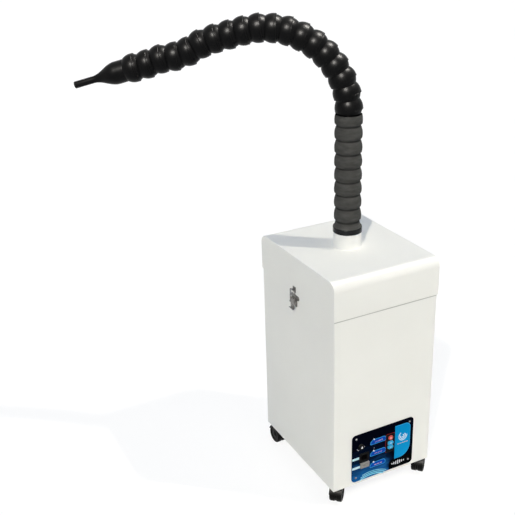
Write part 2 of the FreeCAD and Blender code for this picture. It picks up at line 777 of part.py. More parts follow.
def make_bail():
    legs = []
    for side in ("-", ""):
        eye = cylinder("bail_eye", "2 * wire_radius + pivot_gap", "2 * wire_radius",
                       frame("bail_reach", "%sbail_span + wire_radius" % side, BAIL_Z), ACROSS)
        leg = cylinder("bail_leg", "wire_radius - pivot_gap", "bail_rise",
                       frame("bail_reach", side + "bail_span", BAIL_Z))
        legs.extend((eye, leg))
    crossbar = bar("bail_crossbar", "wire_radius", "2 * bail_span + 3 * wire_radius", "bail_reach",
                   "%s + bail_rise" % BAIL_Z)
    hole = bar("bail_hole", "wire_radius + pivot_gap", "4 * bail_span", "bail_reach", BAIL_Z)
    return cut("latch_bail", fuse("bail_whole", crossbar, *legs), hole)


def make_keeper():
    # The hook on the lid, whose lip stands just behind the bail's crossbar.
    foot = "%s + keeper_foot" % SEAM
    reach = "bail_reach - wire_radius - hook_gap - " + LID_REACH
    plate = box("keeper_plate", "latch_gauge", "keeper_width", "keeper_height",
                LID_REACH + " + latch_gauge / 2", "0", foot)
    ledge = box("keeper_ledge_plate", reach, "keeper_width", "latch_gauge",
                LID_REACH + " + (%s) / 2" % reach, "0",
                foot + " + keeper_ledge")
    lip = box("keeper_lip_plate", "latch_gauge", "keeper_width", "keeper_lip",
              LID_REACH + " + %s - latch_gauge / 2" % reach, "0", foot + " + keeper_ledge")
    return fuse("latch_keeper", plate, ledge, lip)


def make_latches():
    for name, solid in (("latch_bases", make_latch_base()), ("latch_keepers", make_keeper())):
        left = put(group(name + "_left", solid), LEFT_WALL)
        node(group(name, left, mirror(name + "_right", left)), name)
    for name, solid in (("latch_lever", make_lever()), ("latch_bail", make_bail())):
        left = node(put(group("left_" + name, solid), LEFT_WALL), "left_" + name)
        node(mirror("right_" + name, left), "right_" + name)


# Control panel: bodies on the front face have x across and y up, and grow towards the viewer
def front(x="0", z="0", out="0"):
    # A frame on the cabinet's front face, with its own Z pointing at the viewer.
    return frame(x, "-(%s + %s)" % (HALF_DEPTH, out), "%s + %s" % (PANEL_BOTTOM, z), (1, 0, 0), "90")


def rounded_plate(label, place, width, height, gauge, corner):
    plate = node(body(label, place), label)
    pad(plate, sketch(plate, label + "_outline", "XY_Plane", [rectangle(width, height)]), gauge)
    round_edges(plate, label + "_corners", corner, upright)
    return plate


def make_control_plate():
    plate = rounded_plate("control_plate", front(z="panel_height / 2"), "panel_width", "panel_height",
                          "panel_gauge", "panel_corner")
    middle = "panel_height / 2"
    gap = "2 * key_gap"
    holes = [rectangle("key_width + " + gap, "key_height + " + gap, "bezel_x", "key_up_z - " + middle),
             rectangle("key_width + " + gap, "key_height + " + gap, "bezel_x", "key_down_z - " + middle),
             rectangle("inlet_width - 2 * inlet_flange", "inlet_height - 2 * inlet_flange", "inlet_x",
                       "inlet_z - " + middle),
             rectangle("socket_width - 2 * inlet_flange", "socket_height - 2 * inlet_flange", "socket_x",
                       "socket_z - " + middle)]
    rounds = [("bezel_x", "power_z - " + middle, "power_radius + key_gap"),
              ("knob_x", "knob_z - " + middle, "knob_shaft + knob_gap")]
    for number in range(int(sheet.lamp_count)):
        rounds.append(("lamp_x", "lamp_low_z + %d * lamp_step - %s" % (number, middle), "lamp_radius"))
    for x_sign in ("-", ""):
        for z_sign in ("-", ""):
            rounds.append((x_sign + "(panel_width / 2 - screw_inset_x)",
                           z_sign + "(%s - screw_inset_z)" % middle, SCREW_HOLE))
    pocket(plate, sketch(plate, "plate_holes", "XY_Plane", holes, rounds), back=True)


def make_panel_screws():
    shank = cylinder("screw_shank", "screw_radius", "screw_length", frame(z="-screw_length"))
    head = drive(doc.addObject("Part::Cone", "screw_head_cone"), Radius1="screw_head",
                 Radius2="screw_head * 2 / 3", Height="screw_head_height")
    slot = box("screw_slot", "4 * screw_head", "screw_head / 4", "screw_head_height", "0", "0",
               "screw_head_height / 2")
    screw = cut("screw", fuse("screw_solid", shank, head), slot)
    screws = []
    for x_sign in ("-", ""):
        for z in ("screw_inset_z", "panel_height - screw_inset_z"):
            copy = group("screw_copy", screw)
            screws.append(put(copy, front(x_sign + "(panel_width / 2 - screw_inset_x)", z, "panel_gauge")))
    node(group("panel_screws", *screws), "panel_screws")


def make_keypad_bezel():
    bezel = rounded_plate("keypad_bezel", front("bezel_x", "bezel_z", "panel_gauge"), "bezel_width",
                          "bezel_height", "bezel_gauge", "bezel_corner")
    gap = "2 * key_gap"
    keys = [rectangle("key_width + " + gap, "key_height + " + gap, "0",
                      "%s - bezel_z" % z) for z in ("key_up_z", "key_down_z")]
    pocket(bezel, sketch(bezel, "bezel_holes", "XY_Plane", keys,
                         [("0", "power_z - bezel_z", "power_radius + key_gap")]), back=True)


# Push buttons: a cap through the plate, a flange behind it as a stop and a plunger to its switch
SWITCH_FACE = "(board_standoff - switch_size)"


def make_button(label, z, is_round=False):
    key = node(body(label, front("bezel_x", z, "panel_gauge + bezel_gauge + key_proud")), label)
    depth = "key_proud + bezel_gauge + panel_gauge + key_gap"
    behind = "-(%s)" % depth
    if is_round:
        cap = sketch(key, label + "_cap", "XY_Plane", circles=[("0", "0", "power_radius")])
        rim = {"circles": [("0", "0", "power_radius + key_flange")]}
    else:
        cap = sketch(key, label + "_cap", "XY_Plane", [rectangle("key_width", "key_height")])
        rim = {"polygons": [rectangle("key_width + 2 * key_flange", "key_height + 2 * key_flange")]}
    pad(key, cap, depth, back=True)
    if not is_round:
        round_edges(key, label + "_sides", "key_corner", upright)
    round_edges(key, label + "_rim", "key_edge", lambda middle, run: middle.z > -0.001)
    pad(key, sketch(key, label + "_flange", "XY_Plane", lift=behind, **rim), "key_flange_gauge", back=True)
    plunger = sketch(key, label + "_plunger", "XY_Plane", circles=[("0", "0", "plunger_radius")], lift=behind)
    pad(key, plunger, "%s - key_travel - 2 * key_gap" % SWITCH_FACE, back=True)


def make_knob():
    knob = node(body("speed_knob", front("knob_x", "knob_z", "panel_gauge + knob_gap")), "speed_knob")
    tail = "-(panel_gauge + board_standoff - board_gauge)"
    profile = [("0", "knob_height"), ("knob_radius - 2 * knob_taper", "knob_height"),
               ("knob_radius - knob_taper", "knob_height - knob_taper"),
               ("knob_radius", "knob_taper"), ("knob_radius", "0"), ("knob_shaft", "0"),
               ("knob_shaft", tail), ("0", tail)]
    revolve(knob, sketch(knob, "knob_outline", "XZ_Plane", [profile]))
    notch = rectangle("knob_taper", "knob_radius", "0", "knob_radius / 2")
    pocket(knob, sketch(knob, "knob_notch", "XY_Plane", [notch], lift="knob_height"), "knob_taper")


def make_mains_inlet():
    place = front("inlet_x", "inlet_z", "panel_gauge")
    flange = box("inlet_flange_plate", "inlet_width", "inlet_height", "inlet_flange", "0", "0", "0")
    body_size = ("inlet_width - 2 * inlet_flange - fit_gap", "inlet_height - 2 * inlet_flange - fit_gap")
    shell = box("inlet_shell", *body_size, "inlet_depth + inlet_flange", "0", "0", "-inlet_depth")
    room = box("inlet_room", body_size[0] + " - 2 * inlet_wall", body_size[1] + " - 2 * inlet_wall",
               "inlet_depth + inlet_flange",
               "0", "0", "inlet_wall - inlet_depth")
    pins = []
    for x, y in (("-inlet_width / 5", "inlet_pin"), ("0", "-inlet_height / 5 + inlet_pin / 2"),
                 ("inlet_width / 5", "inlet_pin")):
        pins.append(box("inlet_blade", "inlet_pin", "2 * inlet_pin", "inlet_pin_length", x, y,
                        "inlet_wall / 2 - inlet_depth"))
    inlet = fuse("inlet_whole", cut("inlet_hollow", fuse("inlet_solid", flange, shell), room), *pins)
    node(put(group("mains_inlet", inlet), place), "mains_inlet")


def make_signal_socket():
    place = front("socket_x", "socket_z", "panel_gauge")
    face = box("socket_face", "socket_width", "socket_height", "socket_proud", "0", "0", "0")
    tail = box("socket_tail", "socket_width - 2 * inlet_flange - fit_gap",
               "socket_height - 2 * inlet_flange - fit_gap", "socket_depth", "0", "0", "-socket_depth")
    slot = box("socket_slot_cut", "socket_width * 2 / 3", "socket_slot", "2 * socket_proud", "0", "0", "0")
    node(put(group("signal_socket", cut("socket_solid", fuse("socket_whole", face, tail), slot)), place),
         "signal_socket")


def make_indicator_lamps():
    stem = cylinder("lamp_stem", "lamp_radius - fit_gap", "lamp_length + lamp_proud",
                    frame(z="-lamp_length"))
    lens = ball("lamp_lens", "lamp_radius - fit_gap", "0", None, frame(z="lamp_proud"))
    lamp = fuse("lamp", stem, lens)
    lamps = []
    for number in range(int(sheet.lamp_count)):
        copy = group("lamp_copy", lamp)
        lamps.append(put(copy, front("lamp_x", "lamp_low_z + %d * lamp_step" % number, "panel_gauge")))
    node(group("indicator_lamps", *lamps), "indicator_lamps")


def make_control_board():
    # The board hangs on four standoffs behind the plate, with a switch behind each key and three relays.
    middle = "panel_height / 2"
    back = "-board_standoff - board_gauge"
    pieces = [box("board_sheet", "board_width", "board_height", "board_gauge", "0", middle, back)]
    for x_sign in ("-", ""):
        for y_sign in ("-", "+"):
            x = x_sign + "(board_width / 2 - standoff_inset)"
            y = "%s %s (board_height / 2 - standoff_inset)" % (middle, y_sign)
            pieces.append(cylinder("board_standoff_post", "standoff_radius", "board_standoff + board_gauge",
                                   frame(x, y, back)))
    for z in ("power_z", "key_up_z", "key_down_z"):
        pieces.append(box("board_switch", "switch_size", "switch_size", "switch_size + board_gauge",
                          "bezel_x", z, back))
    for number in range(3):
        pieces.append(box("board_relay", "relay_width", "relay_height", "relay_depth",
                          "%d * (relay_width + standoff_radius)" % (number - 1),
                          "%s - board_height / 2 + relay_height" % middle, "%s - relay_depth" % back))
    board = cut("board_drilled", fuse("board_whole", *pieces),
                cylinder("board_knob_hole", "knob_shaft + knob_gap", "4 * board_gauge",
                         frame("knob_x", "knob_z", "%s - board_gauge" % back)))
    node(put(group("control_board", board), front()), "control_board")


# Inside: filter cartridge with a pleated sheet on the deck, blower under it
def make_filter():
    width = "cabinet_width - 2 * flange_width - 2 * filter_margin"
    depth = "cabinet_depth - 2 * flange_width - 2 * filter_margin"
    edging = node(body("filter_frame", frame(z=DECK_TOP)), "filter_frame")
    inner = rectangle(width + " - 2 * filter_frame_wall", depth + " - 2 * filter_frame_wall")
    pad(edging, sketch(edging, "filter_edging", "XY_Plane", [rectangle(width, depth), inner]),
        "filter_height")
    media = node(body("filter_media", frame(z=DECK_TOP)), "filter_media")
    half = "((%s) / 2 - filter_frame_wall - pleat_gap / 4)" % width
    count = 2 * int(sheet.pleat_count)
    crest = "filter_height - pleat_gap"
    upper = []
    lower = []
    for fold in range(count + 1):
        across = "%s * %d / %d" % (half, 2 * fold - count, count)
        upper.append((across, crest if fold % 2 else "pleat_sheet"))
        lower.append((across, crest + " - pleat_sheet" if fold % 2 else "0"))
    pleats = sketch(media, "media_pleats", "XZ_Plane", [lower + upper[::-1]])
    pad(media, pleats, depth + " - 2 * filter_frame_wall - pleat_gap / 2", both=True)


def make_deck():
    deck = node(body("blower_deck", frame(z="ground_gap + deck_height")), "blower_deck")
    room = rectangle("cabinet_width - 2 * sheet_gauge", "cabinet_depth - 2 * sheet_gauge")
    pad(deck, sketch(deck, "deck_sheet", "XY_Plane", [room], [("0", "0", "deck_hole")]), "sheet_gauge")


def make_blower():
    housing = node(body("blower_housing", frame(z="ground_gap + deck_height - housing_height")),
                   "blower_housing")
    bearing = "shaft_radius + shaft_gap"
    inside = "housing_radius - housing_wall"
    ceiling = "housing_height - housing_wall"
    drum = [(bearing, "0"), ("housing_radius", "0"), ("housing_radius", "housing_height"),
            ("deck_hole", "housing_height"), ("deck_hole", ceiling), (inside, ceiling),
            (inside, "housing_wall"), (bearing, "housing_wall")]
    revolve(housing, sketch(housing, "housing_drum", "XZ_Plane", [drum]))
    outlet = rectangle("outlet_width", "outlet_height", "0", "housing_height / 2")
    pocket(housing, sketch(housing, "housing_outlet", "XZ_Plane", [outlet]))
    impeller = node(body("impeller", frame(z="ground_gap + deck_height - housing_height + housing_wall")),
                    "impeller")
    plate_top = "impeller_floor_gap + impeller_plate"
    hub_top = "impeller_floor_gap + hub_height"
    rotor = [("0", hub_top), ("rotor_hub * 2 / 3", hub_top), ("rotor_hub", plate_top),
             ("impeller_radius", plate_top), ("impeller_radius", "impeller_floor_gap"),
             ("rotor_hub", "impeller_floor_gap"), ("rotor_hub", "seal_gap"),
             ("shaft_radius", "seal_gap"), ("shaft_radius", "-shaft_length"), ("0", "-shaft_length")]
    revolve(impeller, sketch(impeller, "rotor_outline", "XZ_Plane", [rotor]))
    outer_x = "impeller_radius - blade_gauge"
    inner_x = "impeller_radius - blade_gauge - blade_length * cos(blade_lean * 1 deg)"
    inner_y = "blade_length * sin(blade_lean * 1 deg)"
    blade = [(outer_x, "0"), (outer_x, "blade_gauge"), (inner_x, inner_y + " + blade_gauge"),
             (inner_x, inner_y)]
    fin = pad(impeller, sketch(impeller, "blade_outline", "XY_Plane", [blade], lift="impeller_floor_gap"),
              "blade_height")
    ring = impeller.newObject("PartDesign::PolarPattern", "blade_ring")
    ring.Originals = [fin]
    ring.Axis = (impeller.Origin.OriginFeatures[2], [""])
    ring.Angle = 360
    ring.Occurrences = int(sheet.blade_count)
    impeller.Tip = ring


def make_motor():
    motor = node(body("motor", frame(z="ground_gap + deck_height - housing_height - motor_height")),
                 "motor")
    bearing = "shaft_radius + shaft_gap"
    waist = "motor_radius - motor_rib"
    can = [("0", "0"), ("motor_radius - motor_band", "0"), ("motor_radius", "motor_band"),
           ("motor_radius", "motor_height / 3"), (waist, "motor_height / 3 + motor_rib"),
           (waist, "motor_height * 2 / 3 - motor_rib"), ("motor_radius", "motor_height * 2 / 3"),
           ("motor_radius", "motor_height"), (bearing, "motor_height"),
           (bearing, "motor_height - shaft_length"), ("0", "motor_height - shaft_length")]
    revolve(motor, sketch(motor, "motor_can", "XZ_Plane", [can]))


# Rear outlet grille: a screwed plate with level slots over the outlet window
def make_exhaust_grille():
    place = frame("0", HALF_DEPTH, "ground_gap + grille_rise + grille_height / 2", (1, 0, 0), "90")
    grille = node(body("exhaust_grille", place), "exhaust_grille")
    slots = []
    count = int(sheet.slot_count)
    for number in range(count):
        height = "((%g) * (grille_height - 2 * grille_border) / %d)" % (number + 0.5 - count / 2, count)
        slots.append(rectangle("grille_width - 2 * grille_border", "slot_height", "0", height))
    pad(grille, sketch(grille, "grille_plate", "XY_Plane",
                       [rectangle("grille_width", "grille_height")] + slots), "grille_gauge", back=True)


def make_everything():
    make_cabinet_shell()
    make_base_pan()
    make_lid()
    make_lid_gasket()
    make_lid_collar()
    make_cuff()
    link = make_link()
    make_sleeved_links(link)
    make_shrink_sleeve()
    make_nozzle(make_arm_links(link))
    make_castors()
    make_latches()
    make_control_plate()
    make_panel_screws()
    make_keypad_bezel()
    make_button("power_button", "power_z", is_round=True)
    make_button("speed_up_button", "key_up_z")
    make_button("speed_down_button", "key_down_z")
    make_knob()
    make_mains_inlet()
    make_signal_socket()
    make_indicator_lamps()
    make_control_board()
    make_filter()
    make_deck()
    make_blower()
    make_motor()
    make_exhaust_grille()


def check_and_export():
    doc.recompute()
    faults = [thing.Label for thing in doc.Objects if "Invalid" in thing.State or "Error" in thing.State]
    faults += [piece.Label for piece in nodes if piece.Shape.isNull() or not piece.Shape.isValid()]
    if faults:
        raise RuntimeError("these did not build: " + ", ".join(faults))
    os.makedirs("parts", exist_ok=True)
    for piece in nodes:
        piece.Shape.exportStep(os.path.join("parts", piece.Label + ".step"))
        print(piece.Label, len(piece.Shape.Solids), "solids", round(piece.Shape.Volume), "mm3")
    print(len(nodes), "nodes")


make_everything()
check_and_export()
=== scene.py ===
import json
from math import atan2, cos, degrees, pi, radians, sin, sqrt

import bmesh
import bpy
from mathutils import Matrix, Vector, noise


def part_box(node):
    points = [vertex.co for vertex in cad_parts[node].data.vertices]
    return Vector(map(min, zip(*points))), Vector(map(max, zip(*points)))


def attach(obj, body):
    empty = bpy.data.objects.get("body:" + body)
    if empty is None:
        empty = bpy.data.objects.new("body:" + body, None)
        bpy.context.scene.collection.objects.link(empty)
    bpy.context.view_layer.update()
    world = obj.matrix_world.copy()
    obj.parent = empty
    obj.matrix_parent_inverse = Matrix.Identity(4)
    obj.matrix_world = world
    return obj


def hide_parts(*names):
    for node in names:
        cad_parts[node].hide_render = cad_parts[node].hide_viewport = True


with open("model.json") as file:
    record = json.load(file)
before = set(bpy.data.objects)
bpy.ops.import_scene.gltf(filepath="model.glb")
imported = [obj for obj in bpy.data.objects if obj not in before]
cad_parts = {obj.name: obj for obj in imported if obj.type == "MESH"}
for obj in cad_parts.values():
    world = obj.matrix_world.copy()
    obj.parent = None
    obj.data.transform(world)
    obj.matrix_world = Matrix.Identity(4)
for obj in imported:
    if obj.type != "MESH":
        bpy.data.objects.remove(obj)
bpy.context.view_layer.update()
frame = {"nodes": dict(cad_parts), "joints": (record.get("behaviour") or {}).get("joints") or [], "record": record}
nodes = frame["nodes"]
print("frame loaded,", len(nodes), "nodes")

mm = 0.001
jointAt = {j["child"]: Vector(j["pos_m"]) / mm for j in frame["joints"] if "pos_m" in j}
mountAt = {m["name"]: m for m in frame["record"]["mounts"]}


# Finishes
def tone(code):  # hex screen colour to the linear values a shader takes
    parts = [int(code[k:k + 2], 16) / 255 for k in (1, 3, 5)]
    linear = [p / 12.92 if p <= 0.04045 else ((p + 0.055) / 1.055) ** 2.4 for p in parts]
    return (*linear, 1.0)


def shaderOf(finish):
    return finish.node_tree.nodes["Principled BSDF"]


def newFinish(name, metal=0.0, coat=0.0, coatRough=0.08, specular=0.5):  # without colour and roughness yet
    finish = bpy.data.materials.new(name)
    finish.use_nodes = True
    values = {"Metallic": metal, "Coat Weight": coat, "Coat Roughness": coatRough,
              "Specular IOR Level": specular}
    for socket, value in values.items():
        shaderOf(finish).inputs[socket].default_value = value
    return finish


def addNode(finish, kind, operation=None, **sockets):
    made = finish.node_tree.nodes.new(kind)
    if operation:
        made.operation = operation
    for name, value in sockets.items():
        made.inputs[name.replace("_", " ")].default_value = value
    return made


def join(finish, source, target):
    finish.node_tree.links.new(source, target)


def compute(finish, operation, *sources):  # one step of arithmetic
    sums = addNode(finish, "ShaderNodeMath", operation)
    for socket, source in zip(sums.inputs, sources):
        join(finish, source, socket)
    return sums.outputs["Value"]


def place(finish, stretch=(1, 1, 1), turn=(0, 0, 0)):  # object coordinates, stretched or turned
    where = addNode(finish, "ShaderNodeTexCoord").outputs["Object"]
    if stretch == (1, 1, 1) and turn == (0, 0, 0):
        return where
    mapping = addNode(finish, "ShaderNodeMapping", Scale=stretch, Rotation=turn)
    join(finish, where, mapping.inputs["Vector"])
    return mapping.outputs["Vector"]


def axesOf(finish):  # object coordinates, one output for each axis
    split = addNode(finish, "ShaderNodeSeparateXYZ")
    join(finish, place(finish), split.inputs["Vector"])
    return split.outputs


def grain(finish, scale, detail=3.0, **where):  # soft noise, scale in lumps per metre
    cloud = addNode(finish, "ShaderNodeTexNoise", Scale=scale, Detail=detail)
    join(finish, place(finish, **where), cloud.inputs["Vector"])
    return cloud.outputs["Fac"]


def ramp(finish, source, low, high, fromLow=0.3, fromHigh=0.7):  # a number spread between two values
    spread = addNode(finish, "ShaderNodeMapRange", From_Min=fromLow, From_Max=fromHigh, To_Min=low,
                     To_Max=high)
    join(finish, source, spread.inputs["Value"])
    return spread.outputs["Result"]


def tintBetween(finish, source, first, second, low=0.3, high=0.7):
    blend = addNode(finish, "ShaderNodeValToRGB")
    stops = blend.color_ramp.elements
    for stop, position, colour in ((stops[0], low, first), (stops[1], high, second)):
        stop.position = position
        stop.color = tone(colour)
    join(finish, source, blend.inputs["Fac"])
    join(finish, blend.outputs["Color"], shaderOf(finish).inputs["Base Color"])
    return stops


def roughBetween(finish, source, low, high):
    join(finish, ramp(finish, source, low, high), shaderOf(finish).inputs["Roughness"])


def bump(finish, source, depth, strength):  # depth in metres, laid over any earlier bump
    lump = addNode(finish, "ShaderNodeBump", Strength=strength, Distance=depth)
    join(finish, source, lump.inputs["Height"])
    normal = shaderOf(finish).inputs["Normal"]
    if normal.is_linked:
        join(finish, normal.links[0].from_socket, lump.inputs["Normal"])
    join(finish, lump.outputs["Normal"], normal)


def stipple(finish, scale, depth, strength):  # fine lumps all over
    bump(finish, grain(finish, scale, detail=2), depth, strength)


def shadeBy(finish, factor, shade):  # lays a shade over the colour where the factor is 1
    blend = addNode(finish, "ShaderNodeMix")
    blend.data_type = "RGBA"
    under, over = [socket for socket in blend.inputs if socket.type == "RGBA"]
    result = [socket for socket in blend.outputs if socket.type == "RGBA"][0]
    colour = shaderOf(finish).inputs["Base Color"]
    join(finish, factor, blend.inputs["Factor"])
    join(finish, colour.links[0].from_socket, under)
    over.default_value = tone(shade)
    join(finish, result, colour)


def powderCoat(name, first, second):  # sprayed paint with a fine orange peel
    paint = {"rough": (0.4, 0.46), "coat": 0.025, "coatRough": 0.1, "specular": 0.075, "cloud": 5,
             "haze": 18, "peel": 420, "peelDepth": 0.000012, "peelStrength": 0.5}
    finish = newFinish(name, coat=paint["coat"], coatRough=paint["coatRough"], specular=paint["specular"])
    tintBetween(finish, grain(finish, paint["cloud"]), first, second)
    roughBetween(finish, grain(finish, paint["haze"]), *paint["rough"])
    stipple(finish, paint["peel"], paint["peelDepth"], paint["peelStrength"])
    return finish


def paintSeamShadow(finish):  # painted shadow: a thin grey line under the lid's edge, front and rear, in metres
    line = {"shade": "#babbb6", "below": (0.0039, 0.0026), "inside": (0.004, 0.001)}
    lidFoot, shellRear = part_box("lid")[0].z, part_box("cabinet_shell")[1].y
    axes = axesOf(finish)
    under = ramp(finish, axes["Z"], 0.0, 1.0, *[lidFoot - drop for drop in line["below"]])
    depth = compute(finish, "ABSOLUTE", axes["Y"])
    outer = ramp(finish, depth, 0.0, 1.0, *[shellRear - step for step in line["inside"]])
    shadeBy(finish, compute(finish, "MULTIPLY", under, outer), line["shade"])


def mouldedPlastic(name, first, second, low, high, coat=0.0, coatRough=0.1, specular=0.5, bite=1400,
                   biteDepth=0.00004):  # the skin of a moulding, with its faint uneven gloss
    skin = {"cloud": 40, "haze": 120, "detail": 4, "biteStrength": 0.6}
    finish = newFinish(name, coat=coat, coatRough=coatRough, specular=specular)
    tintBetween(finish, grain(finish, skin["cloud"], skin["detail"]), first, second)
    roughBetween(finish, grain(finish, skin["haze"], skin["detail"]), low, high)
    stipple(finish, bite, biteDepth, skin["biteStrength"])
    return finish


def printedFilm(name, first, second, specular=0.1, rough=(0.3, 0.4)):
    return mouldedPlastic(name, first, second, *rough, specular=specular)


def brushedMetal(name, first, second, low, high, stretch=(40, 40, 900)):
    # fine lines, which run along the axes that are stretched least
    brush = {"scale": 3, "detail": 5, "depth": 0.00003, "strength": 0.5}
    finish = newFinish(name, metal=1.0)
    lines = grain(finish, brush["scale"], brush["detail"], stretch=stretch)
    tintBetween(finish, lines, first, second)
    roughBetween(finish, lines, low, high)
    bump(finish, lines, brush["depth"], brush["strength"])
    return finish


def makeSleeveSkin():  # shrunk tube: matte, with painted shade in its valleys, and slack creases that wind round it
    skin = {"dark": "#3a3a38", "light": "#494947", "spread": (0.35, 0.75), "specular": 0.1,
            "rough": (0.66, 0.85), "haze": 60, "valleyShade": "#1e1e1d", "valley": (0.0299, 0.0311),
            "crease": 34, "creaseStretch": (1, 1, 3.2), "creaseTurn": (0.5, 0.35, 0),
            "creaseDepth": 0.0012, "creaseStrength": 0.8, "weave": 900, "weaveDepth": 0.0001,
            "weaveStrength": 0.6}
    finish = newFinish("sleeveSkin", specular=skin["specular"])
    creases = grain(finish, skin["crease"], stretch=skin["creaseStretch"], turn=skin["creaseTurn"])
    # painted light and shade: the colour follows the crease bump, darker in its hollows and lighter on its ridges
    tintBetween(finish, creases, skin["dark"], skin["light"], *skin["spread"])
    span = addNode(finish, "ShaderNodeVectorMath", "LENGTH")  # distance from the stack's upright axis
    join(finish, place(finish, stretch=(1, 1, 0)), span.inputs[0])
    # painted shade: the colour darkens where the tube draws in to its valleys
    shadeBy(finish, ramp(finish, span.outputs["Value"], 1.0, 0.0, *skin["valley"]), skin["valleyShade"])
    roughBetween(finish, grain(finish, skin["haze"]), *skin["rough"])
    bump(finish, creases, skin["creaseDepth"], skin["creaseStrength"])
    stipple(finish, skin["weave"], skin["weaveDepth"], skin["weaveStrength"])
    return finish


def newFilm(name, specular):  # the satin of a printed film, still without its print
    satin = {"rough": (0.26, 0.36), "haze": 200, "lumps": 1500, "depth": 0.000004, "strength": 0.5}
    finish = newFinish(name, specular=specular)
    roughBetween(finish, grain(finish, satin["haze"], detail=2), *satin["rough"])
    stipple(finish, satin["lumps"], satin["depth"], satin["strength"])
    return finish


def makePlateFilm():  # black at the top and the right, blue glow along the foot
    film = {"glow": "#1b5896", "glowAt": 0.08, "dusk": "#031a36", "duskAt": 0.4, "night": "#00020e",
            "nightAt": 0.72, "fade": (0.01, 0.05), "fadeBy": 0.7, "cloud": 26, "cloudDetail": 4,
            "cloudStretch": (1, 1, 3), "cloudBy": 0.1, "specular": 0.005}
    low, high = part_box("control_plate")
    finish = newFilm("plateFilm", film["specular"])
    axes = axesOf(finish)
    cloud = grain(finish, film["cloud"], film["cloudDetail"], stretch=film["cloudStretch"])
    total = ramp(finish, axes["Z"], 0.0, 1.0, low.z, high.z)
    for layer in (ramp(finish, axes["X"], 0.0, film["fadeBy"], *film["fade"]),
                  ramp(finish, cloud, -film["cloudBy"], film["cloudBy"])):
        total = compute(finish, "ADD", total, layer)
    stops = tintBetween(finish, total, film["glow"], film["night"], film["glowAt"], film["nightAt"])
    stops.new(film["duskAt"]).color = tone(film["dusk"])
    return finish


def makeSkyFilm():  # a bright field that deepens from the plate's foot to its head
    film = {"foot": "#0c98d6", "head": "#0086c4", "specular": 0.02}
    low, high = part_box("control_plate")
    finish = newFilm("skyFilm", film["specular"])
    rise = ramp(finish, axesOf(finish)["Z"], 0.0, 1.0, low.z, high.z)
    tintBetween(finish, rise, film["foot"], film["head"], 0.0, 1.0)
    return finish


whitePaint = powderCoat("whitePaint", "#eeeeea", "#f1f1ed")
# the same paint, with a painted shadow line laid on under the lid's edge
shellPaint = powderCoat("shellPaint", "#eeeeea", "#f1f1ed")
paintSeamShadow(shellPaint)
armPlastic = mouldedPlastic("armPlastic", "#050506", "#080809", 0.34, 0.4, coat=0.032, coatRough=0.2,
                            specular=0.06, bite=300, biteDepth=0.00001)
cuffPlastic = mouldedPlastic("cuffPlastic", "#08080a", "#0e0e11", 0.12, 0.18, specular=0.2)
castorPlastic = mouldedPlastic("castorPlastic", "#080807", "#0e0e0c", 0.34, 0.44, specular=0.06)
trimBlack = mouldedPlastic("trimBlack", "#060607", "#0b0b0d", 0.35, 0.5, specular=0.05)
trimGrey = mouldedPlastic("trimGrey", "#7d7c79", "#8a8986", 0.38, 0.52)
keyBlue = mouldedPlastic("keyBlue", "#22a0d4", "#33addd", 0.25, 0.36, coat=0.1, specular=0.2)
keyRed = mouldedPlastic("keyRed", "#d8453d", "#e2554c", 0.25, 0.36, coat=0.1, specular=0.2)
lensFinish = mouldedPlastic("lensFinish", "#e6ebec", "#f4f6f6", 0.08, 0.16, coat=0.5)
gasketRubber = mouldedPlastic("gasketRubber", "#262626", "#303030", 0.7, 0.85, bite=300, biteDepth=0.0002)
fanPlastic = mouldedPlastic("fanPlastic", "#3a3b3d", "#46484a", 0.45, 0.6)
boardGreen = mouldedPlastic("boardGreen", "#1c4a2c", "#245736", 0.35, 0.5)
filterCard = mouldedPlastic("filterCard", "#b19a74", "#bfa982", 0.75, 0.9, bite=240, biteDepth=0.0003)
filterPaper = mouldedPlastic("filterPaper", "#e9e8e2", "#f2f1ec", 0.8, 0.95, bite=420, biteDepth=0.0002)
latchSteel = brushedMetal("latchSteel", "#5a5856", "#8f8d8a", 0.24, 0.38)
plainSteel = brushedMetal("plainSteel", "#8f9193", "#b4b6b8", 0.32, 0.5, stretch=(12, 500, 500))
motorMetal = brushedMetal("motorMetal", "#8d8e90", "#aaabad", 0.36, 0.55)
screwSteel = brushedMetal("screwSteel", "#58595b", "#727376", 0.4, 0.52)
sleeveSkin = makeSleeveSkin()
plateFilm = makePlateFilm()
skyFilm = makeSkyFilm()
tabFilm = printedFilm("tabFilm", "#020203", "#060607", 0.005, (0.28, 0.36))
pillFilm = printedFilm("pillFilm", "#0640a6", "#0d52ba", 0.02)
pillEdge = printedFilm("pillEdge", "#2f9fe4", "#52b6f0", 0.02)
redFilm = printedFilm("redFilm", "#8c1c17", "#a0231d", 0.02)
ringFilm = printedFilm("ringFilm", "#b4d8ea", "#d3eaf4")
airFilm = printedFilm("airFilm", "#6fcbe6", "#93dcf0")
amberFilm = printedFilm("amberFilm", "#d9a679", "#e6bd96")
scaleFilm = printedFilm("scaleFilm", "#a3a8b0", "#bcc1c8")
stripFilm = printedFilm("stripFilm", "#b4dbe6", "#d6eef4", 0.2)
printWhite = printedFilm("printWhite", "#eef2f5", "#f6f8fa", 0.5, (0.35, 0.45))
print("finishes ready,", len(bpy.data.materials), "materials")


# Modelling helpers, all in millimetres and degrees
weld = 0.002  # points closer than this become one
flush = 0.0001  # a face this near to a plane lies in it


def addObject(name, data):
    made = bpy.data.objects.new(name, data)
    bpy.context.scene.collection.objects.link(made)
    return made


def finishPiece(name, bm, body, finish, stands=(), sharp=35, clean=True):
    if clean:
        bmesh.ops.remove_doubles(bm, verts=bm.verts, dist=weld)
        bmesh.ops.recalc_face_normals(bm, faces=bm.faces)
    bmesh.ops.scale(bm, vec=(mm, mm, mm), verts=bm.verts)
    mesh = bpy.data.meshes.new(name)
    bm.to_mesh(mesh)
    bm.free()
    mesh.materials.append(finish)
    mesh.shade_smooth()
    mesh.set_sharp_from_angle(angle=radians(sharp))
    piece = addObject(name, mesh)
    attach(piece, body)
    if stands:
        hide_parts(*stands)
    return piece


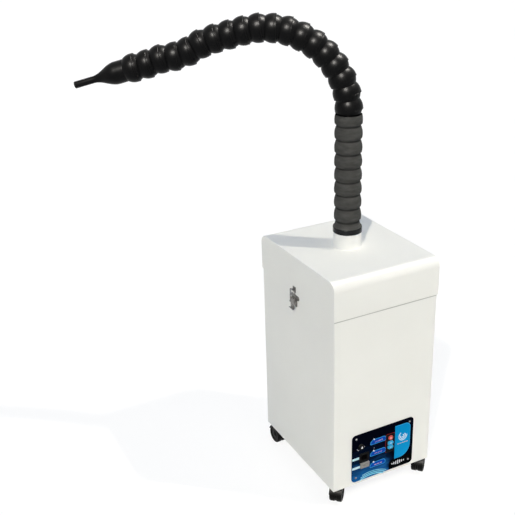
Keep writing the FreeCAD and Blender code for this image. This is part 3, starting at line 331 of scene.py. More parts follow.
def dressNode(node, body, finish, slot, edge, segments=2):  # the CAD solid with its edges broken
    turn = {"flat": 0.6, "corner": 30}  # below the first faces join, above the second an edge is broken
    bm = bmesh.new()
    bm.from_mesh(nodes[node].data)
    bmesh.ops.scale(bm, vec=(1 / mm, 1 / mm, 1 / mm), verts=bm.verts)
    bmesh.ops.remove_doubles(bm, verts=bm.verts, dist=weld)
    bmesh.ops.dissolve_limit(bm, angle_limit=radians(turn["flat"]), use_dissolve_boundaries=False,
                             verts=bm.verts, edges=bm.edges)
    piece = finishPiece(node + ".dressed", bm, body, finish, (node,), clean=False)
    if edge:
        broken = piece.modifiers.new("edges", "BEVEL")
        broken.width = edge * mm
        broken.segments = segments
        broken.limit_method = "ANGLE"
        broken.angle_limit = radians(turn["corner"])
        broken.harden_normals = True


def vertsOf(geom):
    return [part for part in geom if isinstance(part, bmesh.types.BMVert)]


def sweep(bm, geom, centre, axis, turn, steps, merge=False):  # carries parts round an axis
    return bmesh.ops.spin(bm, geom=geom, cent=centre, axis=axis, dvec=(0, 0, 0), angle=radians(turn),
                          steps=steps, use_merge=merge, use_duplicate=False)["geom_last"]


def pushOut(bm, faces, way):  # extrudes faces and carries the new ones along
    grown = bmesh.ops.extrude_face_region(bm, geom=faces)["geom"]
    bmesh.ops.translate(bm, vec=way, verts=vertsOf(grown))
    return grown


def profile(bm, start, *moves):  # a line of points in the XZ plane, drawn by straight runs and arcs
    tip = bm.verts.new((start[0], 0, start[1]))
    for kind, x, z, *arc in moves:
        if kind == "to":
            tip = bmesh.ops.extrude_vert_indiv(bm, verts=[tip])["verts"][0]
            tip.co = (x, 0, z)
        else:
            tip = vertsOf(sweep(bm, [tip], (x, 0, z), (0, 1, 0), *arc))[0]


def turnRound(bm, steps, closed=True):  # spins the drawn profile round Z, its ends joined first if closed
    if closed:
        bm.edges.new([v for v in bm.verts if len(v.link_edges) == 1])
    sweep(bm, bm.verts[:] + bm.edges[:], (0, 0, 0), (0, 0, 1), 360, steps, merge=True)
    bmesh.ops.remove_doubles(bm, verts=bm.verts, dist=weld)
    bmesh.ops.recalc_face_normals(bm, faces=bm.faces)


def alongTo(point, direction):  # carries a piece drawn up Z to a point, facing a direction
    turn = Vector((0, 0, 1)).rotation_difference(Vector(direction).normalized()).to_matrix().to_4x4()
    return Matrix.Translation(point) @ turn


def carry(bm, matrix):
    bmesh.ops.transform(bm, matrix=matrix, verts=bm.verts)


def pour(bm, draw, matrix, *values):  # draws a shape on its own and carries it into a piece
    one = bmesh.new()
    draw(one, *values)
    carry(one, matrix)
    spare = bpy.data.meshes.new("spare")
    one.to_mesh(spare)
    one.free()
    bm.from_mesh(spare)
    bpy.data.meshes.remove(spare)


def badge(bm, x, z, width, height, corner, face, thick=0.15, segments=8):
    # a flat plate on the front: face is its back plane's y, and corner is one radius or four,
    # from the lower left by way of the right
    spots = [(x - width / 2, z - height / 2), (x + width / 2, z - height / 2),
             (x + width / 2, z + height / 2), (x - width / 2, z + height / 2)]
    verts = [bm.verts.new((px, face, pz)) for px, pz in spots]
    bm.faces.new(verts)
    for vert, radius in zip(verts, corner if isinstance(corner, tuple) else (corner,) * 4):
        if radius:
            bmesh.ops.bevel(bm, geom=[vert], offset=radius, offset_type="OFFSET", segments=segments,
                            profile=0.5, affect="VERTICES", clamp_overlap=True, material=-1)
    island = []
    for flat in bm.faces:
        off = flat.calc_center_median() - Vector((x, face, z))
        if abs(off.y) < flush and abs(off.x) < width / 2 and abs(off.z) < height / 2:
            island.append(flat)
    pushOut(bm, island, (0, -thick, 0))


def disc(bm, x, z, radius, face, thick=0.15, sides=40):  # a round plate on the front
    lie = Matrix.Translation((x, face, z)) @ Matrix.Rotation(radians(90), 4, "X")
    ring = bmesh.ops.create_circle(bm, cap_ends=True, segments=sides, radius=radius, matrix=lie)
    pushOut(bm, [ring["verts"][0].link_faces[0]], (0, -thick, 0))


def ringBar(bm, x, z, face, radius, width, fromTurn, toTurn, thick=0.2, steps=24):
    # a flat arc on the front, turned about the middle at x and z
    start = Vector((x, face, z + radius))
    corners = [start + Vector((0, 0, width / 2)), start - Vector((0, 0, width / 2)),
               start + Vector((0, -thick, -width / 2)), start + Vector((0, -thick, width / 2))]
    verts = [bm.verts.new(c) for c in corners]
    flat = bm.faces.new(verts)
    bmesh.ops.rotate(bm, verts=verts, cent=(x, face, z), matrix=Matrix.Rotation(radians(fromTurn), 3, "Y"))
    sweep(bm, verts + flat.edges[:] + [flat], (x, face, z), (0, 1, 0), toTurn - fromTurn, steps)


def bendWire(bm, start, way, radius, moves, sides=16):  # a round wire, run straight or bent about a centre
    ring = bmesh.ops.create_circle(bm, cap_ends=True, segments=sides, radius=radius,
                                   matrix=alongTo(start, way))
    tip = ring["verts"][0].link_faces[0]
    for kind, where, *arc in moves:
        grown = pushOut(bm, [tip], where) if kind == "run" else sweep(bm, [tip], where, *arc)
        tip = [part for part in grown if isinstance(part, bmesh.types.BMFace)][0]


# Hose links: one turned shape, carried to every ball joint
link = {"count": 18, "pitch": 35.2, "ball": 32.4, "dome": 34.5, "socket": 32.7, "bore": 20.0, "nose": 18.0,
        "noseEdge": 0.6, "lip": 6.6, "lipIn": 0.35, "lipUp": 0.42, "band": 2.6, "step": 0.16,
        "ballSteps": 16, "domeSteps": 14, "socketSteps": 10, "steps": 72, "sharp": 28}
upright = dict(link, count=8, top=jointAt["link_01"].z, ball=30.6, dome=33.2, socket=30.95, lip=1.5)


def across(radius, rise):  # how far out a sphere reaches at a height over its middle
    return sqrt(radius ** 2 - rise ** 2)


def turnAt(radius, rise):  # degrees from straight up to a point of the profile
    return degrees(atan2(radius, rise))


def valley(shape):  # where a link's dome meets its ball: radius, and height over the dome's middle
    rise = (shape["pitch"] ** 2 + shape["dome"] ** 2 - shape["ball"] ** 2) / (2 * shape["pitch"])
    return across(shape["dome"], rise), rise


def lipBand(shape):  # the raised band round a link's mouth: its turn, and its points down to the lip
    rise = shape["band"] - shape["lip"]
    radius = across(shape["dome"], rise)
    proud = radius + shape["step"]
    return turnAt(radius, rise), [(radius, rise), (proud, rise - shape["step"]),
                                  (proud, shape["lipUp"] - shape["lip"]),
                                  (proud - shape["lipIn"], -shape["lip"])]


def drawLink(bm, shape):
    pitch, bore, nose, lip = (shape[part] for part in ("pitch", "bore", "nose", "lip"))
    noseRadius = across(shape["ball"], nose)
    innerRadius = across(shape["socket"], lip)
    valleyRadius, valleyRise = valley(shape)
    bandTurn, band = lipBand(shape)
    ballTurn = turnAt(valleyRadius, valleyRise - pitch) - turnAt(noseRadius, nose)
    domeTurn = bandTurn - turnAt(valleyRadius, valleyRise)
    innerTurn = turnAt(innerRadius, -lip) - turnAt(bore, across(shape["socket"], bore))
    profile(bm, (bore, pitch + nose), ("to", noseRadius - shape["noseEdge"], pitch + nose),
            ("to", noseRadius, pitch + nose), ("arc", 0, pitch, ballTurn, shape["ballSteps"]),
            ("arc", 0, 0, domeTurn, shape["domeSteps"]), *[("to", *point) for point in band[1:]],
            ("to", innerRadius, -lip), ("arc", 0, 0, -innerTurn, shape["socketSteps"]))
    turnRound(bm, shape["steps"])


def makeFreeLinks():
    names = ["link_%02d" % (k + 1) for k in range(link["count"])] + ["nozzle"]
    for name, ahead in zip(names, names[1:]):
        bm = bmesh.new()
        drawLink(bm, link)
        carry(bm, alongTo(jointAt[name], jointAt[ahead] - jointAt[name]))
        finishPiece(name + ".ball", bm, name, armPlastic, (name,), link["sharp"])


def makeUprightLinks():
    bm = bmesh.new()
    for k in range(upright["count"]):  # from the top one, whose ball fits the first free link
        shape = dict(upright, ball=link["ball"]) if k == 0 else upright
        pour(bm, drawLink, Matrix.Translation((0, 0, upright["top"] - link["pitch"] * (k + 1))), shape)
    finishPiece("uprightLinks", bm, "cuff", armPlastic, ("sleeved_links",), link["sharp"])


makeFreeLinks()
makeUprightLinks()
print("hose links turned")


# Nozzle
nozzle = {"bell": 27.3, "shoulder": 44.0, "taper": 62.0, "taperSteps": 18, "tube": 8.5, "length": 154.0,
          "wall": 2.2, "tipRound": 0.9, "tipSteps": 5, "mouthIn": 0.3, "mouthDown": 0.4}


def taperPoint(step, trim):  # on the smooth fall from the bell to the tube
    steps = nozzle["taperSteps"]
    swing = (1 + cos(pi * step / steps)) / 2
    radius = nozzle["tube"] + (nozzle["bell"] - nozzle["tube"]) * swing - trim
    return "to", radius, nozzle["shoulder"] + nozzle["taper"] * step / steps


def makeNozzle():
    tube, wall, end, edge = (nozzle[part] for part in ("tube", "wall", "length", "tipRound"))
    bandTurn, band = lipBand(link)
    domeTurn = turnAt(nozzle["bell"], across(link["dome"], nozzle["bell"])) - bandTurn
    innerBell = nozzle["bell"] - wall
    innerMeet = across(link["socket"], innerBell)
    innerTurn = turnAt(across(link["socket"], link["lip"]), -link["lip"]) - turnAt(innerBell, innerMeet)
    outer = [taperPoint(k, 0) for k in range(nozzle["taperSteps"] + 1)]
    inner = [taperPoint(k, wall) for k in range(nozzle["taperSteps"], -1, -1)]
    mouth = [("to", tube, end - edge), ("arc", tube - edge, end - edge, -90, nozzle["tipSteps"]),
             ("to", tube - wall + nozzle["mouthIn"], end), ("to", tube - wall, end - nozzle["mouthDown"])]
    bm = bmesh.new()
    profile(bm, band[3], *[("to", *point) for point in band[2::-1]],
            ("arc", 0, 0, domeTurn, link["domeSteps"]), *outer, *mouth, *inner,
            ("to", innerBell, innerMeet), ("arc", 0, 0, innerTurn, link["socketSteps"]))
    turnRound(bm, link["steps"])
    carry(bm, alongTo(jointAt["nozzle"], mountAt["nozzle_mouth"]["axis"]))
    finishPiece("nozzle.turned", bm, "nozzle", armPlastic, ("nozzle",), link["sharp"])


makeNozzle()
print("nozzle turned")


# Collar on the lid, cuff that turns in it, sleeve over the upright links; heights are over the lid
ontoLid = Matrix.Translation((0, 0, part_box("lid")[1].z / mm))
collar = {"radius": 35.5, "wall": 3.0, "height": 40.5, "floor": 4.0, "spigot": 6.0, "hole": 31.0,
          "edge": 0.8, "edgeSteps": 4, "weld": 1.6, "weldDip": 0.3, "lift": 0.02, "steps": 96, "sharp": 40}


def makeCollar():
    radius, hole, edge, bead = (collar[part] for part in ("radius", "hole", "edge", "weld"))
    inside, throat = radius - collar["wall"], hole - collar["wall"]
    top, spigot, dip = collar["height"], collar["spigot"], bead * collar["weldDip"]
    bm = bmesh.new()
    profile(bm, (inside, collar["floor"]), ("to", inside, top - edge),
            ("arc", inside + edge, top - edge, 90, collar["edgeSteps"]), ("to", radius - edge, top),
            ("arc", radius - edge, top - edge, 90, collar["edgeSteps"]), ("to", radius, bead),
            ("to", radius + dip, dip), ("to", radius + bead, collar["lift"]), ("to", hole, collar["lift"]),
            ("to", hole, -spigot), ("to", throat, -spigot), ("to", throat, collar["floor"]))
    turnRound(bm, collar["steps"])
    carry(bm, ontoLid)
    finishPiece("lidCollar", bm, "lid", whitePaint, ("lid_collar",), collar["sharp"])


cuff = {"ringFoot": 40.8, "ringHeight": 12.5, "ringRadius": 37.3, "edge": 1.5, "edgeSteps": 5,
        "footEdge": 0.5, "spigot": 34.0, "spigotRadius": 32.2, "ballRise": 78.7, "domeSteps": 10,
        "ballSteps": 14, "sharp": 30}
ringTop = cuff["ringFoot"] + cuff["ringHeight"] + cuff["edge"]


def makeCuff():
    foot, radius, edge, footEdge = (cuff[part] for part in ("ringFoot", "ringRadius", "edge", "footEdge"))
    spigot, ballRise, nose, bore = cuff["spigotRadius"], cuff["ballRise"], upright["nose"], upright["bore"]
    bottom, domeRise = foot - cuff["spigot"], ballRise - upright["pitch"]
    seat = across(upright["dome"], ringTop - domeRise)
    noseRadius = across(upright["ball"], nose)
    valleyRadius, valleyRise = valley(upright)
    domeTurn = turnAt(valleyRadius, valleyRise) - turnAt(seat, ringTop - domeRise)
    ballTurn = turnAt(noseRadius, nose) - turnAt(valleyRadius, valleyRise - upright["pitch"])
    bm = bmesh.new()
    profile(bm, (bore, bottom), ("to", spigot, bottom), ("to", spigot, foot), ("to", radius - footEdge, foot),
            ("to", radius, foot + footEdge), ("to", radius, ringTop - edge),
            ("arc", radius - edge, ringTop - edge, -90, cuff["edgeSteps"]), ("to", seat, ringTop),
            ("arc", 0, domeRise, domeTurn, cuff["domeSteps"]),
            ("arc", 0, ballRise, ballTurn, cuff["ballSteps"]), ("to", bore, ballRise + nose))
    turnRound(bm, upright["steps"])
    carry(bm, ontoLid)
    finishPiece("swivelCuff", bm, "cuff", cuffPlastic, ("arm_swivel_cuff",), cuff["sharp"])


sleeve = {"wall": 0.7, "belly": 34.7, "bellyRise": 6.0, "barrel": 49.3, "barrelSteps": 16, "lip": 2.8,
          "lipRoll": (0.5, 0.7), "notch": 8.2, "notchHead": (1.1, 1.6), "topShort": 15.8,
          "flare": ((36.9, 0.15), (35.3, 2.1), (33.2, 4.4)), "crease": 0.45, "creaseSize": 22.0,
          "creaseRise": 2.4, "creaseWind": 9, "steps": 96, "sharp": 50}


def drawSleeve(bm):  # a barrel over every link, drawn in at the notch under its lip
    lip, notch, barrel, bellyRise = (sleeve[part] for part in ("lip", "notch", "barrel", "bellyRise"))
    (headOut, headDrop), (rollIn, rollDrop) = sleeve["notchHead"], sleeve["lipRoll"]
    middle = sleeve["belly"] - barrel
    lipRadius = middle + across(barrel, lip + bellyRise)
    notchRadius = middle + across(barrel, upright["pitch"] - notch - bellyRise)
    lipTurn = turnAt(lipRadius - middle, -lip - bellyRise)
    start, *moves = [("to", radius, ringTop + rise) for radius, rise in sleeve["flare"]]
    for k in range(upright["count"]):
        z = cuff["ballRise"] + k * upright["pitch"]
        short = sleeve["topShort"] if k == upright["count"] - 1 else notch
        topRise = upright["pitch"] - short - bellyRise
        swing = turnAt(across(barrel, topRise), topRise) - lipTurn
        moves += [("to", notchRadius, z - notch), ("to", notchRadius + headOut, z - lip - headDrop),
                  ("to", lipRadius - rollIn, z - lip - rollDrop), ("to", lipRadius, z - lip),
                  ("arc", middle, z + bellyRise, swing, sleeve["barrelSteps"])]
    profile(bm, start[1:], *moves)
    turnRound(bm, sleeve["steps"], closed=False)


def makeSleeve():
    bm = bmesh.new()
    drawSleeve(bm)
    for v in bm.verts:  # slack creases, wound round the tube
        wound = v.co.z * sleeve["creaseRise"] + atan2(v.co.y, v.co.x) * sleeve["creaseWind"]
        around = Vector((v.co.x, v.co.y, wound)) / sleeve["creaseSize"]
        push = min(0.0, noise.noise(around)) * sleeve["crease"]
        v.co += Vector((v.co.x, v.co.y, 0)).normalized() * push
    carry(bm, ontoLid)
    piece = finishPiece("shrinkSleeve", bm, "cuff", sleeveSkin, ("shrink_sleeve",),
                        sleeve["sharp"])
    wall = piece.modifiers.new("wall", "SOLIDIFY")
    wall.thickness = sleeve["wall"] * mm
    wall.offset = -1


makeCollar()
makeCuff()
makeSleeve()
print("collar, cuff and sleeve turned")


# Cabinet, lid and what the CAD already shapes: edges broken, finishes laid on
dressed = {  # each node's body, finish, slot, width of its broken edges and, where finer, their segments
    "cabinet_shell": ("base", shellPaint, "white_paint", 0.5),
    "lid": ("lid", whitePaint, "white_paint", 0.6, 3),
    "exhaust_grille": ("base", whitePaint, "white_paint", 0.5),
    "base_pan": ("base", plainSteel, "plain_steel", 0.3),
    "blower_deck": ("base", plainSteel, "plain_steel", 0.3),
    "control_plate": ("base", plateFilm, "panel_film", 0.5),
    "keypad_bezel": ("base", trimBlack, "trim_black", 0.5),
    "mains_inlet": ("base", trimBlack, "trim_black", 0.6),
    "signal_socket": ("base", trimGrey, "trim_grey", 0.8),
    "latch_bases": ("base", latchSteel, "dark_steel", 0.3),
    "latch_keepers": ("lid", latchSteel, "dark_steel", 0.3),
    "castor_stems": ("base", plainSteel, "dark_steel", 0.4),
    "lid_gasket": ("lid", gasketRubber, "gasket_rubber", 0.8),
    "filter_frame": ("base", filterCard, "filter_card", 1.2),
    "left_latch_lever": ("left_latch_lever", latchSteel, "dark_steel", 0.3),
    "right_latch_lever": ("right_latch_lever", latchSteel, "dark_steel", 0.3),
    "power_button": ("power_button", keyRed, "key_red", 0),
    "speed_up_button": ("speed_up_button", keyBlue, "key_blue", 0),
    "speed_down_button": ("speed_down_button", keyBlue, "key_blue", 0),
    "indicator_lamps": ("base", lensFinish, "lamp_lens", 0.4, 3),
    "panel_screws": ("base", screwSteel, "plain_steel", 0.15)}
for node, values in dressed.items():
    dressNode(node, *values)
innerFinishes = {"filter_media": filterPaper, "blower_housing": fanPlastic, "impeller": fanPlastic,
                 "motor": motorMetal, "control_board": boardGreen}
for node, finish in innerFinishes.items():
    nodes[node].data.materials.clear()
    nodes[node].data.materials.append(finish)
print("cabinet dressed")


# Castors: a pair of turned wheels under each hood
castor = {"side": 132, "end": 166.5, "trail": 13, "gap": 5, "hoodEdge": 0.5, "hoodSegments": 3,
          "turns": {"front_left": 47, "front_right": 45, "rear_left": -88, "rear_right": 60}}
wheel = {"radius": 25, "width": 14, "axle": 3.1, "bossRise": 0.2, "boss": 6, "inner": 1.5, "innerSteps": 5,
         "shoulder": 3.5, "shoulderSteps": 8, "lip": 20.6, "lipDrop": 0.1, "lipMiddle": 0.9, "lipTurn": 60,
         "lipSteps": 4, "dish": ((18.9, 2.1), (18.2, 2.4), (9, 2.5), (8.3, 2.2), (7.6, 1.5), (6.6, 1.25)),
         "hubDrop": 1.2, "steps": 72, "sharp": 40}


def drawWheel(bm):
    rim, width, soft, inner = (wheel[part] for part in ("radius", "width", "shoulder", "inner"))
    lip, axle = wheel["lip"], wheel["axle"]
    profile(bm, (axle, wheel["bossRise"]), ("to", wheel["boss"], 0), ("to", rim - inner, 0),
            ("arc", rim - inner, inner, -90, wheel["innerSteps"]), ("to", rim, width - soft),
            ("arc", rim - soft, width - soft, -90, wheel["shoulderSteps"]),
            ("to", lip, width - wheel["lipDrop"]),
            ("arc", lip, width - wheel["lipMiddle"], -wheel["lipTurn"], wheel["lipSteps"]),
            *[("to", radius, width - drop) for radius, drop in wheel["dish"]],
            ("to", axle, width - wheel["hubDrop"]))
    turnRound(bm, wheel["steps"])


def makeCastor(corner, turn):
    hood, wheels = corner + "_castor_hood", corner + "_castor_wheels"
    x = -castor["side"] if "left" in corner else castor["side"]
    y = -castor["end"] if "front" in corner else castor["end"]
    stand = Matrix.Translation((x, y, 0)) @ Matrix.Rotation(radians(turn), 4, "Z")
    bm = bmesh.new()
    for out in (1, -1):
        spot = stand @ Vector((castor["trail"], out * castor["gap"] / 2, wheel["radius"]))
        pour(bm, drawWheel, alongTo(spot, stand.to_3x3() @ Vector((0, out, 0))))
    finishPiece(corner + ".wheelPair", bm, wheels, castorPlastic, (wheels,), wheel["sharp"])
    dressNode(hood, hood, castorPlastic, "castor_black", castor["hoodEdge"], castor["hoodSegments"])


for corner, turn in castor["turns"].items():
    makeCastor(corner, turn)
print("castors turned")


# Latch bails bent from wire, with an eye on each trunnion
bail = {"span": 12.0, "wire": 1.15, "wireFoot": 2, "solidWire": 1.2, "bend": 3.6, "bendSteps": 8, "eye": 2.5,
        "eyeHole": 1.3, "eyeEdge": 0.4, "eyeEdgeSteps": 4, "eyeSteps": 32, "sharp": 40}


def drawEye(bm):
    half, edge, hole, steps = (bail[part] for part in ("wire", "eyeEdge", "eyeHole", "eyeEdgeSteps"))
    flat = bail["eye"] - edge
    profile(bm, (hole, -half), ("to", flat, -half), ("arc", flat, edge - half, -90, steps),
            ("to", bail["eye"], half - edge), ("arc", flat, half - edge, -90, steps), ("to", hole, half))
    turnRound(bm, bail["eyeSteps"])


def makeBail(side):
    node = side + "_latch_bail"
    low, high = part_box(node)
    x, y = (low.x + high.x) / 2 / mm, (low.y + high.y) / 2 / mm
    foot, top = low.z / mm + bail["eye"], high.z / mm - bail["solidWire"]
    span, bend = bail["span"], bail["bend"]
    rise = top - bend - foot - bail["wireFoot"]
    quarter = ((1, 0, 0), -90, bail["bendSteps"])
    bm = bmesh.new()
    bendWire(bm, (x, y - span, foot + bail["wireFoot"]), (0, 0, 1), bail["wire"], [
        ("run", (0, 0, rise)), ("bend", (x, y - span + bend, top - bend), *quarter),
        ("run", (0, 2 * (span - bend), 0)), ("bend", (x, y + span - bend, top - bend), *quarter),
        ("run", (0, 0, -rise))])
    for out in (-span, span):
        pour(bm, drawEye, alongTo((x, y + out, foot), (0, 1, 0)))
    finishPiece(side + ".wireBail", bm, node, latchSteel, (node,), bail["sharp"])


makeBail("left")
makeBail("right")


# Front of the panel, and the speed knob on it with a fluted grip and a pointer
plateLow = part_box("control_plate")[0]
plateFace, plateLeft, plateFoot = plateLow.y / mm, plateLow.x / mm, plateLow.z / mm
knob = {"skirt": 8.5, "skirtRise": 2.2, "skirtEdge": 0.8, "grip": 7.6, "gripOut": 0.25, "gripUp": 0.5,
        "top": 7.1, "edge": 0.8, "edgeSteps": 5, "dish": 2.2, "dishDrop": 0.15, "middleDrop": 0.2,
        "flutes": 18, "fluteSteps": 6, "fluteDepth": 0.35, "fluteFoot": 0.3, "fluteHead": 0.05,
        "fluteIn": 0.6, "gap": 0.3, "sharp": 40}
pointer = {"dot": 2.3, "dotSink": 0.35, "dotThick": 0.25, "rise": 4.2, "wide": 0.9, "tall": 3.4,
           "corner": 0.4, "sink": 0.25, "thick": 0.2}


def drawKnob(bm, rise):
    skirt, skirtRise, grip, top, edge = (knob[part] for part in ("skirt", "skirtRise", "grip", "top", "edge"))
    profile(bm, (0, 0), ("to", skirt, 0), ("to", skirt, skirtRise - knob["skirtEdge"]),
            ("to", grip + knob["gripOut"], skirtRise), ("to", grip, skirtRise + knob["gripUp"]),
            ("to", top, rise - edge), ("arc", top - edge, rise - edge, -90, knob["edgeSteps"]),
            ("to", top - knob["dish"], rise - knob["dishDrop"]), ("to", 0, rise - knob["middleDrop"]))
    turnRound(bm, knob["flutes"] * knob["fluteSteps"], closed=False)
    low, high = skirtRise + knob["fluteFoot"], rise - knob["fluteHead"]
    for v in bm.verts:
        if low < v.co.z < high and v.co.xy.length > top - knob["fluteIn"]:
            wave = (1 - cos(atan2(v.co.y, v.co.x) * knob["flutes"])) / 2
            v.co.xy *= 1 - knob["fluteDepth"] / top * wave


def makeKnob():
    low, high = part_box("speed_knob")
    x, z = (low.x + high.x) / 2 / mm, (low.z + high.z) / 2 / mm
    front, foot = low.y / mm, plateFace - knob["gap"]
    bm = bmesh.new()
    drawKnob(bm, foot - front)
    carry(bm, alongTo((x, foot, z), (0, -1, 0)))
    finishPiece("knobGrip", bm, "speed_knob", trimBlack, ("speed_knob",), knob["sharp"])
    bm = bmesh.new()
    disc(bm, x, z, pointer["dot"], front + pointer["dotSink"], pointer["dotThick"])
    badge(bm, x, z + pointer["rise"], pointer["wide"], pointer["tall"], pointer["corner"],
          front + pointer["sink"], pointer["thick"])
    finishPiece("knobPointer", bm, "speed_knob", printWhite, sharp=knob["sharp"])


makeKnob()
print("bails and knob made")


# Print on the panel and the keys: plain fields and signs, no words; rises are over the plate's foot
ink = {"first": 0.15, "second": 0.1, "sharp": 40}  # thickness of the first layer, and of what lies over it
firstFront = plateFace - ink["first"]
secondFront = firstFront - ink["second"]


def printOn(body, name, finish, draws):
    bm = bmesh.new()
    for draw, *values in draws:
        draw(bm, *values)
    finishPiece(name, bm, body, finish, sharp=ink["sharp"])


def printFields():  # the bright field in its rim, and the dark tab
    sky = {"x": 62, "rise": 81.5, "wide": 49, "tall": 104, "corners": (0, 34, 16, 0), "rim": 1.3}
    tab = {"x": 58, "rise": 15.6, "wide": 74.8, "tall": 30, "corners": (0, 10.4, 0, 12)}
    x, z, wide, tall, rim = sky["x"], plateFoot + sky["rise"], sky["wide"], sky["tall"], sky["rim"]
    inner = tuple(max(0, c - rim) for c in sky["corners"])
    printOn("base", "skyRim", pillEdge, [(badge, x, z, wide, tall, sky["corners"], plateFace)])
    printOn("base", "skyField", skyFilm,
            [(badge, x - rim / 2, z, wide - rim, tall - 2 * rim, inner, firstFront, ink["second"])])
    printOn("base", "darkTab", tabFilm,
            [(badge, tab["x"], plateFoot + tab["rise"], tab["wide"], tab["tall"], tab["corners"], plateFace)])


def barRow(row, x, z):  # bars side by side, each higher and taller than the last where the row says so
    climb, grow = row.get("climb", 0), row.get("grow", 0)
    return [(badge, x + row["pitch"] * k, z + climb * k, row["wide"], row["tall"] + grow * k, row["corner"],
             secondFront, ink["second"]) for k in range(row["count"])]


def printPills():  # three pills beside the lamps with marks in them, and a row of dashes in the field
    pill = {"x": -15.5, "rises": (108.4, 72.2, 36), "wide": 49, "tall": 15.5, "corners": (2.6, 5, 8, 12),
            "rim": 1.3}
    bars = {"count": 6, "start": -9, "drop": 2.2, "pitch": 4.2, "climb": 0.3, "wide": 1.6, "tall": 1.8,
            "grow": 0.6, "corner": 0.3}
    dots = {"count": 5, "start": -9, "drop": 1.5, "pitch": 5, "radius": 1.1}
    dashes = {"count": 3, "start": -7, "drop": 1.5, "pitch": 8.6, "wide": 6.4, "tall": 1.6, "corner": 0.5}
    line = {"count": 5, "x": 49, "rise": 74.2, "pitch": 7, "wide": 5.2, "tall": 1.6, "corner": 0.5}
    x, wide, tall, corners, rim = (pill[part] for part in ("x", "wide", "tall", "corners", "rim"))
    inner = tuple(c - rim for c in corners)
    rises = [plateFoot + rise for rise in pill["rises"]]
    printOn("base", "pillRims", pillEdge, [(badge, x, z, wide, tall, corners, plateFace) for z in rises])
    printOn("base", "pillFields", pillFilm,
            [(badge, x, z, wide - 2 * rim, tall - 2 * rim, inner, firstFront, ink["second"]) for z in rises])
    marks = barRow(bars, x + bars["start"], rises[0] - bars["drop"])
    marks += [(disc, x + dots["start"] + dots["pitch"] * k, rises[1] - dots["drop"], dots["radius"],
               secondFront, ink["second"]) for k in range(dots["count"])]
    marks += barRow(dashes, x + dashes["start"], rises[2] - dashes["drop"])
    marks += barRow(line, line["x"], plateFoot + line["rise"])
    printOn("base", "amberMarks", amberFilm, marks)


def printStrips():  # two pale strips that run in from the left edge to the sockets
    strip = {"rises": (72.3, 43.7), "longs": (23, 26), "tall": 7, "corner": 1.2, "inset": 0.6}
    printOn("base", "edgeStrips", stripFilm,
            [(badge, plateLeft + long / 2 + strip["inset"], plateFoot + rise, long, strip["tall"],
              strip["corner"], plateFace) for rise, long in zip(strip["rises"], strip["longs"])])


def printArcs():  # streams of air along the foot, and a swirl of rings in the bright field
    air = {"count": 3, "x": -36, "rise": -82, "radius": 89, "pitch": 5, "wide": 3, "thin": 0.5,
           "begin": -24, "beginShift": 4, "end": 26, "endShift": 2}
    swirl = {"count": 3, "x": 63, "rise": 95.5, "radius": 3.5, "pitch": 4.6, "wide": 2.6, "turn": 40,
             "sweep": 250}
    streams = [(ringBar, air["x"], plateFoot + air["rise"], plateFace, air["radius"] + air["pitch"] * k,
                air["wide"] - air["thin"] * k, air["begin"] + air["beginShift"] * k,
                air["end"] + air["endShift"] * k) for k in range(air["count"])]
    rings = [(ringBar, swirl["x"], plateFoot + swirl["rise"], secondFront,
              swirl["radius"] + swirl["pitch"] * k, swirl["wide"], swirl["turn"] * k,
              swirl["turn"] * k + swirl["sweep"], ink["second"]) for k in range(swirl["count"])]
    printOn("base", "airLines", airFilm, streams)
    printOn("base", "skyRings", ringFilm, rings)


def printSigns():  # level bars on the tab, a spare dot, the keypad's outline and the knob's scale
    level = {"count": 7, "x": 31, "rise": 16, "pitch": 6.2, "wide": 2.6, "tall": 13, "fall": 2.7, "corner": 1}
    spare = {"x": -28, "rise": 88.8, "radius": 1.5}
    outline = {"x": 22.5, "rise": 87.5, "wide": 28, "tall": 57, "corner": 5, "edge": 0.9}
    scale = {"x": -70, "rise": 107.5, "radius": 12, "wide": 1.3, "turns": ((100, 140), (205, 250))}
    middle, edge = level["count"] // 2, outline["edge"]
    printOn("base", "levelBars", printWhite,
            [(badge, level["x"] + level["pitch"] * k, plateFoot + level["rise"], level["wide"],
              level["tall"] - level["fall"] * abs(k - middle), level["corner"], firstFront, ink["second"])
             for k in range(level["count"])])
    printOn("base", "spareDot", trimGrey,
            [(disc, spare["x"], plateFoot + spare["rise"], spare["radius"], plateFace)])
    printOn("base", "bezelOutline", redFilm,
            [(badge, outline["x"], plateFoot + outline["rise"], outline["wide"] + 2 * edge,
              outline["tall"] + 2 * edge, outline["corner"] + edge, plateFace)])
    printOn("base", "knobScale", scaleFilm,
            [(ringBar, scale["x"], plateFoot + scale["rise"], plateFace, scale["radius"], scale["wide"],
              *turn) for turn in scale["turns"]])


def keyMiddle(key, sink=0.03):  # where a sign starts on a key: across, up, and its back plane
    low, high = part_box(key)
    return (low.x + high.x) / 2 / mm, (low.z + high.z) / 2 / mm, low.y / mm + sink


def printKeys():
    sign = {"thick": 0.12, "ring": 2.4, "line": 0.7, "opening": 35, "stemRise": 1.9, "stemTall": 2.4,
            "stemCorner": 0.2, "long": 4.6, "wide": 1.0, "corner": 0.3, "crossThick": 0.13}
    thick, line, opening, long, wide, corner = (
        sign[part] for part in ("thick", "line", "opening", "long", "wide", "corner"))
    x, z, face = keyMiddle("power_button")
    printOn("power_button", "powerSign", printWhite,
            [(ringBar, x, z, face, sign["ring"], line, opening, 360 - opening, thick),
             (badge, x, z + sign["stemRise"], line, sign["stemTall"], sign["stemCorner"], face, thick)])
    x, z, face = keyMiddle("speed_up_button")
    printOn("speed_up_button", "moreSign", printWhite,
            [(badge, x, z, long, wide, corner, face, thick),
             (badge, x, z, wide, long, corner, face, sign["crossThick"])])
    x, z, face = keyMiddle("speed_down_button")
    printOn("speed_down_button", "lessSign", printWhite, [(badge, x, z, long, wide, corner, face, thick)])


